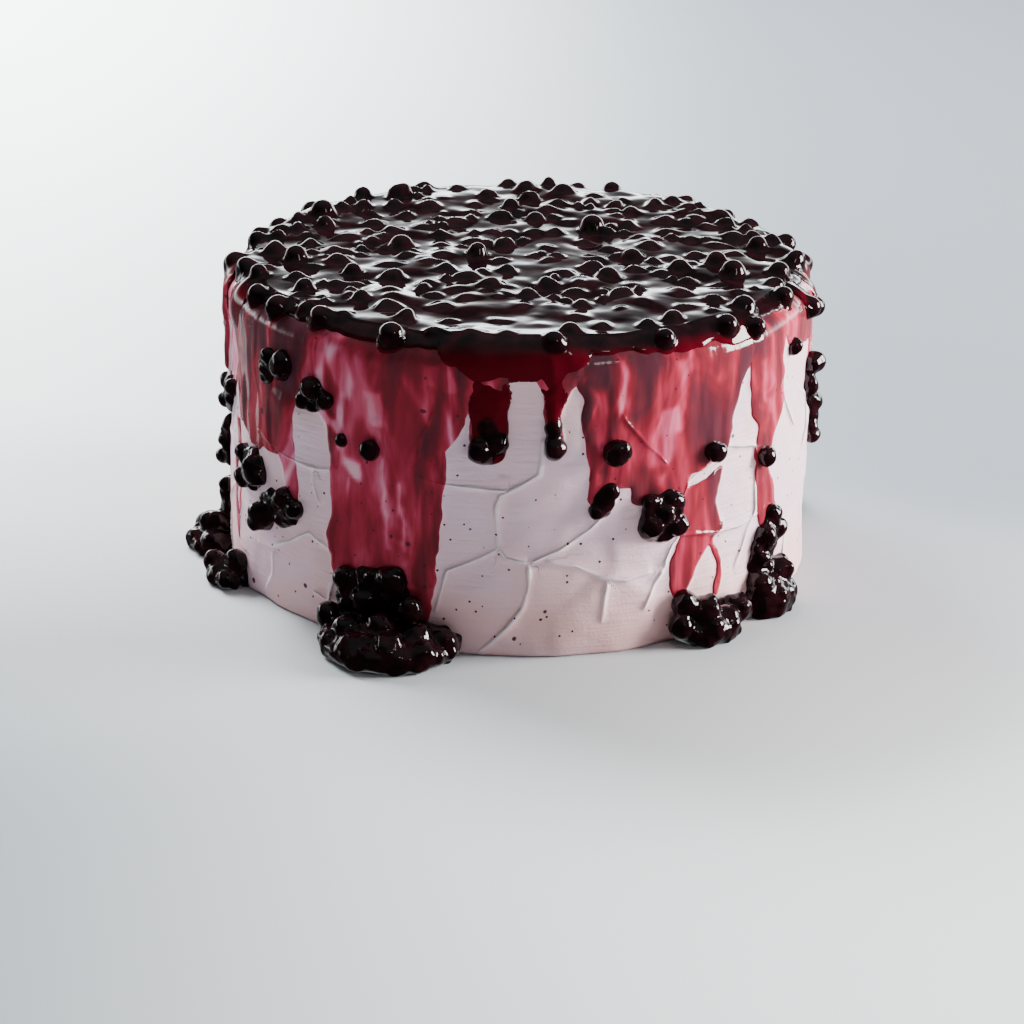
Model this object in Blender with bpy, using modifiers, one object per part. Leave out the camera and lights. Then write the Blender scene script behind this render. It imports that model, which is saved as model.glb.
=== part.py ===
"""A frosted layer cake, uncut, under a blueberry topping that runs down its side.

The front of the cake faces -Y and its base rests on z = 0. A place on the cake is an angle round it,
in degrees from the front towards +X, and either a height or an arc, the distance from the middle of
the top, over the rounded rim and down the side.
"""
import math
from collections import Counter
from typing import NamedTuple

import bmesh
import bpy
import numpy as np
from mathutils import Euler, Matrix, Vector, geometry, noise

MM = 0.001

# The frosted cake
BASE_RADIUS = 102.5 * MM
TOP_RADIUS = 101.5 * MM
CAKE_HEIGHT = 105.0 * MM
RIM_ROUNDING = 8.0 * MM
FOOT_ROUNDING = 1.5 * MM
SEGMENTS = 54
SIDE_ROWS = 9
RIM_ROWS = 3

# The flat facets that the palette knife left in the frosting
STROKE_ROWS = 4
STROKES_PER_ROW = 21
STROKE_LIFT = 0.7 * MM
STROKE_SLOPE = 0.035
SMOOTH_UNDER_RIM = 14.0 * MM
STROKE_SEED = 11

# The topping: a sheet of jam with berries in it
JAM_THICKNESS = 3.2 * MM
JAM_WAVES = 0.7 * MM
JAM_WAVE_LENGTH = 21.0 * MM
EDGE_THICKNESS = 1.0 * MM
RUN_THICKNESS = 2.2 * MM
EDGE_BEYOND_FLAT = 5.0 * MM
EDGE_WANDER = 2.2 * MM
EDGE_STEP = 4.0
BERRY_SMALLEST = 3.0 * MM
BERRY_LARGEST = 4.7 * MM
BERRY_SPACING = 3.7 * MM
BERRY_TRIES = 4000
BERRY_SEED = 5
DOME_SIDES = 5
FILL_SPACING = 13.0 * MM

# Every piece stands this far off its neighbour
GAP = 0.35 * MM
SUNK = 2.0 * MM
BERRY_SIDES = 6
BERRY_BANDS = 4
BLOB_SIDES = 8
SHORTEST_EDGE = 0.3 * MM

FLAT_RADIUS = TOP_RADIUS - RIM_ROUNDING
RIM_ARC = RIM_ROUNDING * math.pi / 2
SIDE_TOP = CAKE_HEIGHT - RIM_ROUNDING

FROSTING = ((0.80, 0.70, 0.76), 0.45)
TOPPING = ((0.030, 0.006, 0.012), 0.12)


class Run(NamedTuple):
    """A tongue of jam that runs down from the rim: where, half its width in degrees, its length in mm."""
    angle: float
    half_width: float
    length: float


class Berry(NamedTuple):
    """A berry on the side: angle and height of its centre, radius and distance off the frosting, in mm."""
    angle: float
    height: float
    radius: float
    out: float


class Blob(NamedTuple):
    """A flattened lump of jam: its centre, then half its width, height and depth, and its distance off."""
    angle: float
    height: float
    half_width: float
    half_height: float
    half_depth: float
    out: float


RUNS = (
    Run(-1, 14.5, 9), Run(-5.2, 3.6, 33), Run(6.6, 2.5, 31), Run(33, 11, 3), Run(47, 8, 6), Run(-72, 5, 15),
    Run(-88, 6, 24), Run(98, 7, 13), Run(113, 4, 34), Run(139, 9, 9), Run(150, 4.4, 44), Run(176, 7, 12),
    Run(192, 3.6, 30), Run(211, 9, 9), Run(228, 4.2, 40), Run(251, 6, 14),
)

# Berries that sit on the rim: angle, arc beyond the flat top in mm, radius in mm
RIM_BERRIES = (
    (43.5, 4, 3.9), (50.5, 7, 3.3), (53, -0.5, 4.4), (86, 16, 3.5), (35, -6, 3.9), (27.5, -3.5, 3.4), (28.5, 4, 3.4),
    (10.5, -4, 4.2), (6.5, 2.5, 4.2), (75.5, 11, 3.5), (-43, 2, 3.7), (-39, -1.5, 3.9), (-25, 3.5, 4.5),
    (-55, 4, 3.9), (-49, -1, 4.0), (-64, 4, 3.8), (-80, 1.5, 4.2), (66, 3, 3.6), (80, -3, 4.0),
    (-6.6, 37.5, 4.2), (-3.4, 34.5, 3.2), (-5.4, 29.5, 2.8), (6.7, 36, 3.7), (6.4, 29.5, 2.6),
    (113, 42, 3.8), (110, 37, 3.0), (150, 52, 4.2), (153, 46, 3.1), (192, 38, 3.7), (228, 48, 4.1), (225, 42, 3.0),
)
BACK_RIM_STEP = 9.5

# What lies on the side, as the front of the cake shows it
SHAPES = {
    "left_high": (
        Blob(-81, 62, 8.5, 7, 2.8, 0), Berry(-84, 64.5, 3.1, 1.4), Berry(-84, 57.5, 3.1, 1.8), Berry(-76.5, 66, 3.2, 0.8)),
    "left_middle": (
        Blob(-83.5, 42.5, 4.2, 10, 2.6, 0), Berry(-84, 43, 3.1, 1.5), Berry(-85, 36, 3.3, 1.8), Berry(-82, 49, 2.6, 0.9)),
    "left_front": (
        Blob(-62, 45.5, 8, 7.4, 2.6, 0), Berry(-66, 49, 3.4, 0.9), Berry(-59, 46.8, 5.5, 0.8), Berry(-66, 40, 3.6, 0.9)),
    "left_lower": (
        Blob(-51.5, 37, 10.5, 6, 2.7, 0), Berry(-49.5, 42, 4.1, 1.0), Berry(-46.5, 39.5, 3.4, 0.9),
        Berry(-56.5, 32, 5.3, 1.0)),
    "left_rim": (
        Blob(-52, 87.5, 7.2, 4.8, 2.6, 0), Berry(-54.5, 89, 3.3, 1.2), Berry(-50, 88.5, 4.7, 1.2),
        Blob(-56, 84.5, 3.8, 6, 2.2, 0.2)),
    "left_drip": (
        Blob(-42, 81.5, 6.2, 6.2, 2.6, 0), Berry(-42, 84, 4.0, 1.4), Berry(-44.5, 78.5, 2.9, 0.9), Berry(-38.5, 81, 3.1, 0.8)),
    "right_square": (
        Blob(27.5, 46, 8.0, 8.8, 3.2, 0), Berry(25, 52, 3.3, 1.2), Berry(30, 51, 3.3, 1.3), Berry(25, 44, 4.4, 1.6),
        Berry(30.5, 43, 4.2, 1.5), Berry(27.5, 48, 3.4, 2.4)),
    "slanted_drip": (
        Blob(16, 54, 3.4, 5.5, 2.3, 0.4), Berry(14.5, 51, 2.8, 1.2), Berry(17.3, 57.5, 2.7, 0.9)),
    "right_string": (
        Blob(82, 68, 4.4, 9.5, 2.7, 0.6), Blob(83, 54, 4.0, 9, 2.7, 0.6), Berry(82, 75, 3.4, 2.4),
        Berry(80.5, 68, 3.2, 1.6), Berry(84, 60, 3.0, 2.6), Berry(83, 48, 2.7, 1.4)),
    "left_pool": (
        Blob(-87, 3, 13, 5.5, 13, 3), Blob(-88, 14, 5, 12, 4, 0.5), Berry(-86, 24, 3.0, 1.6),
        Berry(-86, 9, 5.5, 5.5), Berry(-91, 6, 4.6, 9), Berry(-82, 5, 4.6, 6)),
    "left_foot": (
        Blob(-69, 2.5, 9, 6, 9.5, 3), Berry(-66.5, 8.5, 4.2, 3.0), Berry(-72, 5.5, 4.0, 8.5), Berry(-65.5, 3.5, 3.6, 7.5)),
    "front_heap": (
        Blob(-23, 4, 24, 8, 24, 3), Blob(-27, 15, 14, 12, 5, 0.5), Berry(-33, 22, 4.1, 2.0), Berry(-23, 24, 5.0, 2.0),
        Berry(-28, 16, 4.6, 4.4), Berry(-19, 16, 4.6, 4.6), Berry(-35, 9, 4.4, 6.5), Berry(-29, 9, 4.6, 13),
        Berry(-23, 11, 4.8, 11), Berry(-16.5, 9, 4.8, 10.5), Berry(-12.5, 7, 4.4, 6.5), Berry(-26, 6, 4.6, 20),
        Berry(-20, 7.5, 5.0, 18.5), Berry(-14.5, 5.5, 4.6, 16)),
    "right_foot": (
        Blob(38, 4, 12, 7, 10.5, 2.5), Berry(33, 13.5, 4.8, 2.2), Berry(36.5, 10.5, 5.6, 4.2), Berry(44.5, 8, 5.0, 4.2),
        Berry(31.5, 7, 4.6, 4.4), Berry(40.5, 7, 4.6, 6.5)),
    "right_column": (
        Blob(54.5, 18, 6.2, 14, 3.8, 0.6), Blob(56, 4.5, 11, 9, 9, 2), Blob(57, 28, 5.4, 8, 3.0, 0.6), Berry(57.5, 35, 3.3, 1.6),
        Berry(59.5, 28.5, 3.3, 1.8), Berry(54.5, 28, 4.0, 1.9), Berry(59.5, 13, 5.2, 3.4), Berry(52.5, 12, 4.8, 2.6),
        Berry(61, 5.5, 4.3, 5)),
    "berry_shrivelled": (Berry(-34.5, 69, 2.3, 0.5),),
    "berry_left": (Berry(-28, 68, 3.5, 1.4),),
    "berry_large": (Berry(18, 71, 4.6, 2.0),),
    "berry_middle": (Berry(39, 65, 3.9, 1.6),),
    "berry_right": (Berry(54, 57, 3.5, 1.6),),
    "berry_under_rim": (Berry(65, 90, 3.1, 1.2),),
}

# The same shapes again on the back: turned by so many degrees and raised by so many mm
BACK_SHAPES = {
    "back_square": ("right_square", 103, 10),
    "back_berry_a": ("berry_large", 108, 2),
    "back_foot_a": ("right_foot", 79, 0),
    "back_drip_a": ("left_drip", 207, -8),
    "back_lower": ("left_lower", 222, -4),
    "back_heap": ("right_column", 137, 0),
    "back_berry_b": ("berry_middle", 166, -12),
    "back_rim": ("left_rim", 260, -5),
    "back_cluster": ("left_front", 300.5, 6),
    "back_foot_b": ("left_foot", 301, 0),
    "back_berry_c": ("berry_left", 287, -8),
    "back_string": ("right_string", 166, -8),
}


def stroke_table():
    """Centre, slope and lift of each stroke of the knife: rows of (angle, height, slope round, slope up, lift)."""
    draw = np.random.RandomState(STROKE_SEED)
    pitch = 2 * math.pi / STROKES_PER_ROW
    rise = CAKE_HEIGHT / STROKE_ROWS
    strokes = []
    for row in range(STROKE_ROWS):
        for column in range(STROKES_PER_ROW):
            angle = (column + 0.5 * (row % 2) + draw.uniform(-0.34, 0.34)) * pitch
            height = (row + 0.5 + draw.uniform(-0.36, 0.36)) * rise
            slopes = draw.uniform(-STROKE_SLOPE, STROKE_SLOPE, 2)
            strokes.append((angle, height, *slopes, draw.uniform(-1, 1) * STROKE_LIFT))
    return np.array(strokes)


STROKES = stroke_table()


def knife_relief(angle, height):
    """How far the frosting stands out of a plain cone at an angle in radians and a height."""
    across = (angle - STROKES[:, 0] + math.pi) % (2 * math.pi) - math.pi
    across = across * BASE_RADIUS
    up = height - STROKES[:, 1]
    nearest = int(np.argmin(across * across + up * up))
    _, _, slope_round, slope_up, lift = STROKES[nearest]
    return lift + slope_round * across[nearest] + slope_up * up[nearest]


def side_radius(angle, height):
    """Radius of the frosting's face at an angle in radians and a height."""
    share = min(max(height / SIDE_TOP, 0.0), 1.0)
    plain = BASE_RADIUS + (TOP_RADIUS - BASE_RADIUS) * share
    fade = min(max((SIDE_TOP - height) / SMOOTH_UNDER_RIM, 0.0), 1.0)
    return plain + knife_relief(angle, height) * fade


def on_cake(x, y, lift):
    """The point above a place of the unrolled skin, where x, y has the arc as its distance from the middle."""
    arc = math.hypot(x, y)
    angle = math.atan2(x, -y)
    if arc <= FLAT_RADIUS:
        return Vector((x, y, CAKE_HEIGHT + lift))
    turn = (arc - FLAT_RADIUS) / RIM_ROUNDING
    if turn < math.pi / 2:
        radius = FLAT_RADIUS + (RIM_ROUNDING + lift) * math.sin(turn)
        height = SIDE_TOP + (RIM_ROUNDING + lift) * math.cos(turn)
    else:
        height = SIDE_TOP - (arc - FLAT_RADIUS - RIM_ARC)
        radius = side_radius(angle, height) + lift
    return Vector((radius * math.sin(angle), -radius * math.cos(angle), height))


def unrolled(angle, arc):
    """Place on the unrolled skin, for an angle in degrees and an arc."""
    turned = math.radians(angle)
    return arc * math.sin(turned), -arc * math.cos(turned)


def link(name, mesh, collection):
    """A new object with this mesh, in a collection."""
    made = bpy.data.objects.new(name, mesh)
    collection.objects.link(made)
    return made


def material(name, look):
    """A Principled material from a colour and a roughness."""
    made = bpy.data.materials.new(name)
    made.use_nodes = True
    shader = made.node_tree.nodes["Principled BSDF"]
    colour, roughness = look
    shader.inputs["Base Color"].default_value = (*colour, 1.0)
    shader.inputs["Roughness"].default_value = roughness
    shader.inputs["Metallic"].default_value = 0.0
    return made


def cake_profile():
    """Radius and height of the cake's outline, from the middle of the top to the middle of the base."""
    points = [(0.0, CAKE_HEIGHT), (FLAT_RADIUS, CAKE_HEIGHT)]
    for step in range(1, RIM_ROWS + 1):
        turn = math.pi / 2 * step / RIM_ROWS
        points.append((FLAT_RADIUS + RIM_ROUNDING * math.sin(turn), SIDE_TOP + RIM_ROUNDING * math.cos(turn)))
    for step in range(1, SIDE_ROWS + 1):
        height = SIDE_TOP + (FOOT_ROUNDING - SIDE_TOP) * step / SIDE_ROWS
        points.append((side_cone(height), height))
    points.append((BASE_RADIUS - FOOT_ROUNDING, 0.0))
    points.append((0.0, 0.0))
    return points


def side_cone(height):
    """Radius of the plain cone that the frosting's relief stands on."""
    return BASE_RADIUS + (TOP_RADIUS - BASE_RADIUS) * height / SIDE_TOP


def turned_cake(name, collection):
    """The cake as a turned profile, with the knife's facets pushed into its side."""
    outline = bpy.data.meshes.new(name)
    points = [(radius, 0.0, height) for radius, height in cake_profile()]
    outline.from_pydata(points, [(i, i + 1) for i in range(len(points) - 1)], [])
    profile = link(name + "_profile", outline, collection)
    screw = profile.modifiers.new("Turn", "SCREW")
    screw.steps = screw.render_steps = SEGMENTS
    screw.use_merge_vertices = True
    screw.merge_threshold = 0.00001
    cake = link(name, evaluated_mesh(profile), collection)
    bpy.data.objects.remove(profile)
    for vertex in cake.data.vertices:
        x, y, height = vertex.co
        plain = math.hypot(x, y)
        if 0.0 < height < SIDE_TOP and plain > FLAT_RADIUS:
            grown = side_radius(math.atan2(x, -y), height) / plain
            vertex.co = (x * grown, y * grown, height)
    return cake


def evaluated_mesh(made):
    """A new mesh of the object as its modifiers leave it."""
    bpy.context.view_layer.update()
    graph = bpy.context.evaluated_depsgraph_get()
    return bpy.data.meshes.new_from_object(made.evaluated_get(graph))


def berry_ball(berry):
    """A mesh ball for a berry on the side, turned at random but the same each time."""
    angle, height, radius, out = berry
    shape = bmesh.new()
    bmesh.ops.create_uvsphere(shape, u_segments=BERRY_SIDES, v_segments=BERRY_BANDS, radius=radius * MM)
    turn = Euler((angle * 1.7, height * 2.3, radius * 3.1)).to_matrix().to_4x4()
    bmesh.ops.transform(shape, matrix=side_place(angle, height, out) @ turn, verts=shape.verts)
    return shape


def blob_ball(blob):
    """A mesh ball stretched into a lump of jam that lies against the side."""
    angle, height, half_width, half_height, half_depth, out = blob
    shape = bmesh.new()
    bmesh.ops.create_uvsphere(shape, u_segments=BLOB_SIDES, v_segments=BLOB_SIDES // 2, radius=MM)
    stretch = Matrix.Diagonal((half_width, half_depth, half_height, 1.0))
    bmesh.ops.transform(shape, matrix=side_place(angle, height, out) @ stretch, verts=shape.verts)
    return shape


def side_place(angle, height, out):
    """The frame of a place on the side: X runs round the cake, -Y points away from it and Z is up."""
    turned = math.radians(angle)
    radius = side_radius(turned, height * MM) + out * MM
    place = Matrix.Translation((radius * math.sin(turned), -radius * math.cos(turned), height * MM))
    return place @ Matrix.Rotation(turned, 4, "Z")


def mesh_of(shape, name):
    """Turns a bmesh into a mesh and frees it."""
    mesh = bpy.data.meshes.new(name)
    shape.to_mesh(mesh)
    shape.free()
    return mesh


def boolean(made, operation, **operand):
    """Adds an exact or manifold Boolean and applies it."""
    modifier = made.modifiers.new(operation, "BOOLEAN")
    modifier.operation = operation
    modifier.solver = "MANIFOLD"
    for key, value in operand.items():
        setattr(modifier, key, value)
    mesh = evaluated_mesh(made)
    made.modifiers.clear()
    made.data = mesh


def is_closed(mesh):
    """Whether every edge of the mesh has exactly two faces."""
    uses = Counter(key for face in mesh.polygons for key in face.edge_keys)
    return set(uses.values()) == {2}


def drop_short_edges(made, longest):
    """Collapses the slivers up to this length that the Booleans leave, as far as the mesh stays closed."""
    for shortest in (longest, longest / 2, longest / 4, longest / 20):
        for method in ("BEAUTY", "EAR_CLIP"):
            shape = bmesh.new()
            shape.from_mesh(made.data)
            bmesh.ops.triangulate(shape, faces=shape.faces, ngon_method=method)
            bmesh.ops.dissolve_degenerate(shape, dist=shortest, edges=shape.edges)
            bmesh.ops.triangulate(shape, faces=shape.faces, ngon_method=method)
            trial = mesh_of(shape, made.name)
            if is_closed(trial):
                made.data = trial
                return
    raise ValueError(f"{made.name} does not stay closed")


def cluster(name, pieces, turn, rise, clearances, collection):
    """Berries and lumps of jam joined into one piece, cut to fit the frosting and the table."""
    loose = bpy.data.collections.new(name + "_pieces")
    bpy.context.scene.collection.children.link(loose)
    balls = []
    for piece in pieces:
        moved = piece._replace(angle=piece.angle + turn, height=piece.height + rise)
        shape = berry_ball(moved) if isinstance(moved, Berry) else blob_ball(moved)
        balls.append(mesh_of(shape, name))
    made = link(name, balls[0], collection)
    for number, ball in enumerate(balls[1:]):
        link(f"{name}_{number}", ball, loose)
    if len(balls) > 1:
        boolean(made, "UNION", operand_type="COLLECTION", collection=loose)
    for piece in list(loose.objects):
        bpy.data.objects.remove(piece)
    bpy.data.collections.remove(loose)
    for clearance in clearances:
        boolean(made, "DIFFERENCE", object=clearance)
    drop_short_edges(made, SHORTEST_EDGE)
    return made


def edge_arc(angle, berries):
    """Arc at which the topping ends, for an angle in degrees: a wandering line, its runs and its rim berries."""
    turned = math.radians(angle)
    wander = noise.noise(Vector((3 * math.sin(turned), 3 * math.cos(turned), 0.5)))
    edge = FLAT_RADIUS + EDGE_BEYOND_FLAT + EDGE_WANDER * wander
    longest = 0.0
    for run in RUNS:
        aside = abs((angle - run.angle + 180) % 360 - 180) / run.half_width
        if aside < 1:
            longest = max(longest, run.length * MM * (1 - aside**2.5) ** 0.4)
    edge += longest
    for x, y, radius, _ in berries:
        arc = math.hypot(x, y)
        aside = (angle - math.degrees(math.atan2(x, -y)) + 180) % 360 - 180
        aside = math.radians(aside) * arc
        reach = radius + EDGE_THICKNESS
        if abs(aside) < reach and arc > FLAT_RADIUS:
            edge = max(edge, arc + math.sqrt(reach**2 - aside**2))
    return edge


def topping_berries():
    """Every berry in the topping: x and y on the unrolled skin, radius, and height of its centre."""
    draw = np.random.RandomState(BERRY_SEED)
    berries = []
    for angle, beyond, radius in RIM_BERRIES:
        x, y = unrolled(angle, FLAT_RADIUS + beyond * MM)
        berries.append((x, y, radius * MM, RUN_THICKNESS + 0.1 * radius * MM))
    angle = 92.0
    while angle < 275:
        x, y = unrolled(angle, FLAT_RADIUS + draw.uniform(0, 9) * MM)
        radius = draw.uniform(3.2, 4.4) * MM
        berries.append((x, y, radius, RUN_THICKNESS + 0.1 * radius))
        angle += BACK_RIM_STEP * draw.uniform(0.7, 1.3)
    for attempt in range(BERRY_TRIES):
        radius = draw.uniform(BERRY_SMALLEST, BERRY_LARGEST)
        arc = FLAT_RADIUS * math.sqrt(draw.uniform(0, 1))
        x, y = unrolled(draw.uniform(0, 360), arc)
        proud = draw.uniform(-0.3, 0.3)
        room = (math.hypot(x - u, y - v) - radius - r for u, v, r, _ in berries)
        if min(room) > BERRY_SPACING:
            berries.append((x, y, radius, JAM_THICKNESS + proud * radius))
    return berries


def jam_lift(x, y):
    """Thickness of the jam sheet between its berries."""
    arc = math.hypot(x, y)
    over_rim = min(max((arc - FLAT_RADIUS) / RIM_ARC, 0.0), 1.0)
    wave = JAM_WAVES * noise.noise(Vector((x, y, 0.0)) / JAM_WAVE_LENGTH) * 2
    return (JAM_THICKNESS + wave) * (1 - over_rim) + RUN_THICKNESS * over_rim


def dome(x, y, radius, centre):
    """Points of a berry's dome on the unrolled skin, each with its height: the crown, a ring, and its foot."""
    level = jam_lift(x, y)
    foot = math.sqrt(max(radius**2 - (level - centre) ** 2, 0.0)) * 1.04
    points = [(x, y, centre + radius)]
    for share, offset in ((0.66, 0.0), (1.0, 0.5)):
        reach = foot * share
        height = centre + math.sqrt(max(radius**2 - reach**2, 0.0)) if share < 1 else level
        for side in range(DOME_SIDES):
            turn = 2 * math.pi * (side + offset) / DOME_SIDES + x * 900
            points.append((x + reach * math.cos(turn), y + reach * math.sin(turn), height))
    return points


def outline_angles():
    """Angles at which the topping's edge is sampled: an even step, with more where a run has its sides."""
    angles = set(np.arange(0, 360, EDGE_STEP))
    for run in RUNS:
        for share in (0, 0.5, 0.85, 1.0):
            for side in (-1, 1):
                angles.add((run.angle + side * share * run.half_width) % 360)
    kept = []
    for angle in sorted(angles):
        if not kept or angle - kept[-1] > 0.35:
            kept.append(angle)
    return kept


def topping_points(berries):
    """The topping on the unrolled skin: its outline, the points inside it with heights, and its berries' rings."""
    edge = [(angle, edge_arc(angle, berries)) for angle in outline_angles()]
    outline = [(*unrolled(angle, arc), EDGE_THICKNESS) for angle, arc in edge]
    border = [Vector(point[:2]) for point in outline]
    arcs = np.array([arc for _, arc in edge])
    angles = np.array([angle for angle, _ in edge])

    def inside(x, y, margin):
        angle = math.degrees(math.atan2(x, -y)) % 360
        if math.hypot(x, y) > np.interp(angle, angles, arcs, period=360) - margin:
            return False
        return min((Vector((x, y)) - point).length for point in border) > margin

    points = []
    rings = []
    for x, y, radius, centre in berries:
        whole = dome(x, y, radius, centre)
        kept = [point for point in whole if inside(point[0], point[1], 0.8 * MM)]
        nearest = sorted(math.hypot(x - u, y - v) - radius - r for u, v, r, _ in berries)[1]
        if len(kept) == len(whole) and nearest > 0.5 * MM:
            first = len(outline) + len(points) + 1
            for start in (first, first + DOME_SIDES):
                rings += [(start + side, start + (side + 1) % DOME_SIDES) for side in range(DOME_SIDES)]
        points += kept
    reach = max(arcs)
    rows = int(reach / FILL_SPACING) + 1
    for row in range(-rows, rows + 1):
        for column in range(-rows, rows + 1):
            x = (column + 0.5 * (row % 2)) * FILL_SPACING
            y = row * FILL_SPACING * math.sqrt(3) / 2
            clear = min(math.hypot(x - u, y - v) - r for u, v, r, _ in berries)
            if inside(x, y, 2 * MM) and clear > 2.5 * MM:
                points.append((x, y, jam_lift(x, y)))
    return outline, points, rings


def topping(name, clearances, collection):
    """The sheet of jam with its berries: triangulated flat, laid over the cake, and cut to fit the frosting."""
    outline, inner, rings = topping_points(topping_berries())
    spots = outline + inner
    places = [Vector(spot[:2]) for spot in spots]
    loop = [list(range(len(outline)))]
    inside_only = 1
    flat, _, faces, origin, _, _ = geometry.delaunay_2d_cdt(places, rings, loop, inside_only, 1e-6)
    shape = bmesh.new()
    corners = [shape.verts.new(on_cake(*place, -SUNK)) for place in flat]
    bottom = [shape.faces.new([corners[i] for i in reversed(face)]) for face in faces]
    lifts = [spots[source[0]][2] for source in origin]
    risen = bmesh.ops.extrude_face_region(shape, geom=bottom, use_keep_orig=True)
    upper = [item for item in risen["geom"] if isinstance(item, bmesh.types.BMVert)]
    shape.verts.index_update()
    pairs = {tuple(round(value, 7) for value in corner.co): number for number, corner in enumerate(corners)}
    for vertex in upper:
        number = pairs[tuple(round(value, 7) for value in vertex.co)]
        vertex.co = on_cake(*flat[number], lifts[number])
    bmesh.ops.recalc_face_normals(shape, faces=shape.faces)
    made = link(name, mesh_of(shape, name), collection)
    for clearance in clearances:
        boolean(made, "DIFFERENCE", object=clearance)
    drop_short_edges(made, SHORTEST_EDGE / 10)
    return made


def frosting_clearance(cake, collection):
    """The cake grown by the gap: what lies on the cake is cut with it."""
    grown = link("frosting_clearance", cake.data.copy(), collection)
    normals = [vertex.normal.copy() for vertex in grown.data.vertices]
    for vertex, normal in zip(grown.data.vertices, normals):
        vertex.co += normal * GAP
        if vertex.co.z < GAP:
            vertex.co.z = -GAP
    return grown


def table_clearance(collection):
    """A slab below z = 0, which gives the lowest pieces their flat feet."""
    shape = bmesh.new()
    bmesh.ops.create_cube(shape, size=1.0)
    bmesh.ops.scale(shape, vec=(0.4, 0.4, 0.04), verts=shape.verts)
    bmesh.ops.translate(shape, vec=(0.0, 0.0, -0.02), verts=shape.verts)
    return link("table_clearance", mesh_of(shape, "table_clearance"), collection)


def as_cutter(made):
    """Marks an object as a helper that no render shows."""
    made.hide_render = True
    made.display_type = "WIRE"
    return made


def finish(made, look):
    """Gives an object its material and its shading."""
    made.data.materials.clear()
    made.data.materials.append(look)
    made.data.shade_smooth()
    made.data.set_sharp_from_angle(angle=math.radians(32))


def main():
    for leftover in list(bpy.data.objects):
        bpy.data.objects.remove(leftover)
    parts = bpy.data.collections.new("layer_cake")
    cutters = bpy.data.collections.new("cutters")
    bpy.context.scene.collection.children.link(parts)
    bpy.context.scene.collection.children.link(cutters)
    frosting = material("frosting", FROSTING)
    dark_jam = material("blueberry_topping", TOPPING)

    cake = turned_cake("frosted_cake", parts)
    finish(cake, frosting)
    frosting_room = as_cutter(frosting_clearance(cake, cutters))
    table_room = as_cutter(table_clearance(cutters))

    finish(topping("berry_topping", [frosting_room], parts), dark_jam)
    for name, pieces in SHAPES.items():
        finish(cluster(name, pieces, 0, 0, [frosting_room, table_room], parts), dark_jam)
    for name, (source, turn, rise) in BACK_SHAPES.items():
        finish(cluster(name, SHAPES[source], turn, rise, [frosting_room, table_room], parts), dark_jam)


main()
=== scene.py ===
"""Looks of an uncut frosted layer cake under blueberry jam: frosting, sauce, berries, drips and studio.

The front of the cake faces -Y. A place on its side is an angle in degrees from the front towards +X and
a height. A place on its skin, unrolled flat, is an angle and an arc from the middle of the top.
"""
import logging
import math
from dataclasses import dataclass, field
from enum import Enum
from functools import reduce
from typing import NamedTuple, Sequence

import bmesh
import bpy
import numpy as np
from mathutils import Matrix, Vector, noise

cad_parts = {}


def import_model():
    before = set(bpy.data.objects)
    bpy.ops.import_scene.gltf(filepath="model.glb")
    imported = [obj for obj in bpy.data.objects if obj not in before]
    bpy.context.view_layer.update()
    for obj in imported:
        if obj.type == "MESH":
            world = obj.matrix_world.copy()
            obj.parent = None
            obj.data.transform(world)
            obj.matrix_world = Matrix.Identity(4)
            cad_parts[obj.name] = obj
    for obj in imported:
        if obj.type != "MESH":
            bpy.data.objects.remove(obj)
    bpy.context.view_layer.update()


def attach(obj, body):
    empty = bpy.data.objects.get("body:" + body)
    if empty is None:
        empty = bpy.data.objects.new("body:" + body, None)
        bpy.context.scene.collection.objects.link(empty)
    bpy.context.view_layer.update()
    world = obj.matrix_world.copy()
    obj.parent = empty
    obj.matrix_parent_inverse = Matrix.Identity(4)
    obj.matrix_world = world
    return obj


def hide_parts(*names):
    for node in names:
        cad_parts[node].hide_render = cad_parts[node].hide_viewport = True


MM = 0.001
MM_PER_DEGREE = 1.79
GOLDEN_TURN = 2.39996
log = logging.getLogger("layer_cake")


class Slot(Enum):
    """The record's material slots."""

    FROSTING = "frosting"
    TOPPING = "topping"


class Run(NamedTuple):
    """A tongue of jam from the rim: where it is, half its width in degrees and its length in mm."""

    angle: float
    half_width: float
    length: float


class Berry(NamedTuple):
    """A berry on the side: angle and height of its centre, radius and distance off the frosting, in mm."""

    angle: float
    height: float
    radius: float
    out: float


class Blob(NamedTuple):
    """A flattened lump of jam: its centre, half its width, height and depth, and its distance off, in mm."""

    angle: float
    height: float
    half_width: float
    half_height: float
    half_depth: float
    out: float


class Flow(NamedTuple):
    """A run of thin sauce: its darkness, its thickness in mm, and rows of height, left and right angle."""

    darkness: float
    thickness: float
    rows: Sequence[tuple[float, float, float]]


def wave(points: np.ndarray, length: float, shift: float = 0.0) -> np.ndarray:
    """Smooth noise at many points.

    Args:
        points: Places, one a row.
        length: Wave length in metres.
        shift: Moves the pattern, so that two uses differ.

    Returns:
        Values of about -1 to 1.
    """
    moved = points / length + shift
    return np.array([noise.noise(Vector(place)) for place in moved]) * 1.6


def ramp(values: np.ndarray, low: float, high: float) -> np.ndarray:
    """Smooth step from 0 at low to 1 at high."""
    share = np.clip((values - low) / (high - low), 0.0, 1.0)
    return share * share * (3.0 - 2.0 * share)


def melt(first: np.ndarray, second: np.ndarray, reach: float) -> np.ndarray:
    """Joins two distance fields with a fillet, as wet jam does.

    Args:
        first: Distances to one shape.
        second: Distances to the other.
        reach: Size of the fillet in metres.

    Returns:
        Distances to both together.
    """
    overlap = np.maximum(reach - np.abs(first - second), 0.0) / reach
    return np.minimum(first, second) - overlap * overlap * reach * 0.25


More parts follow.
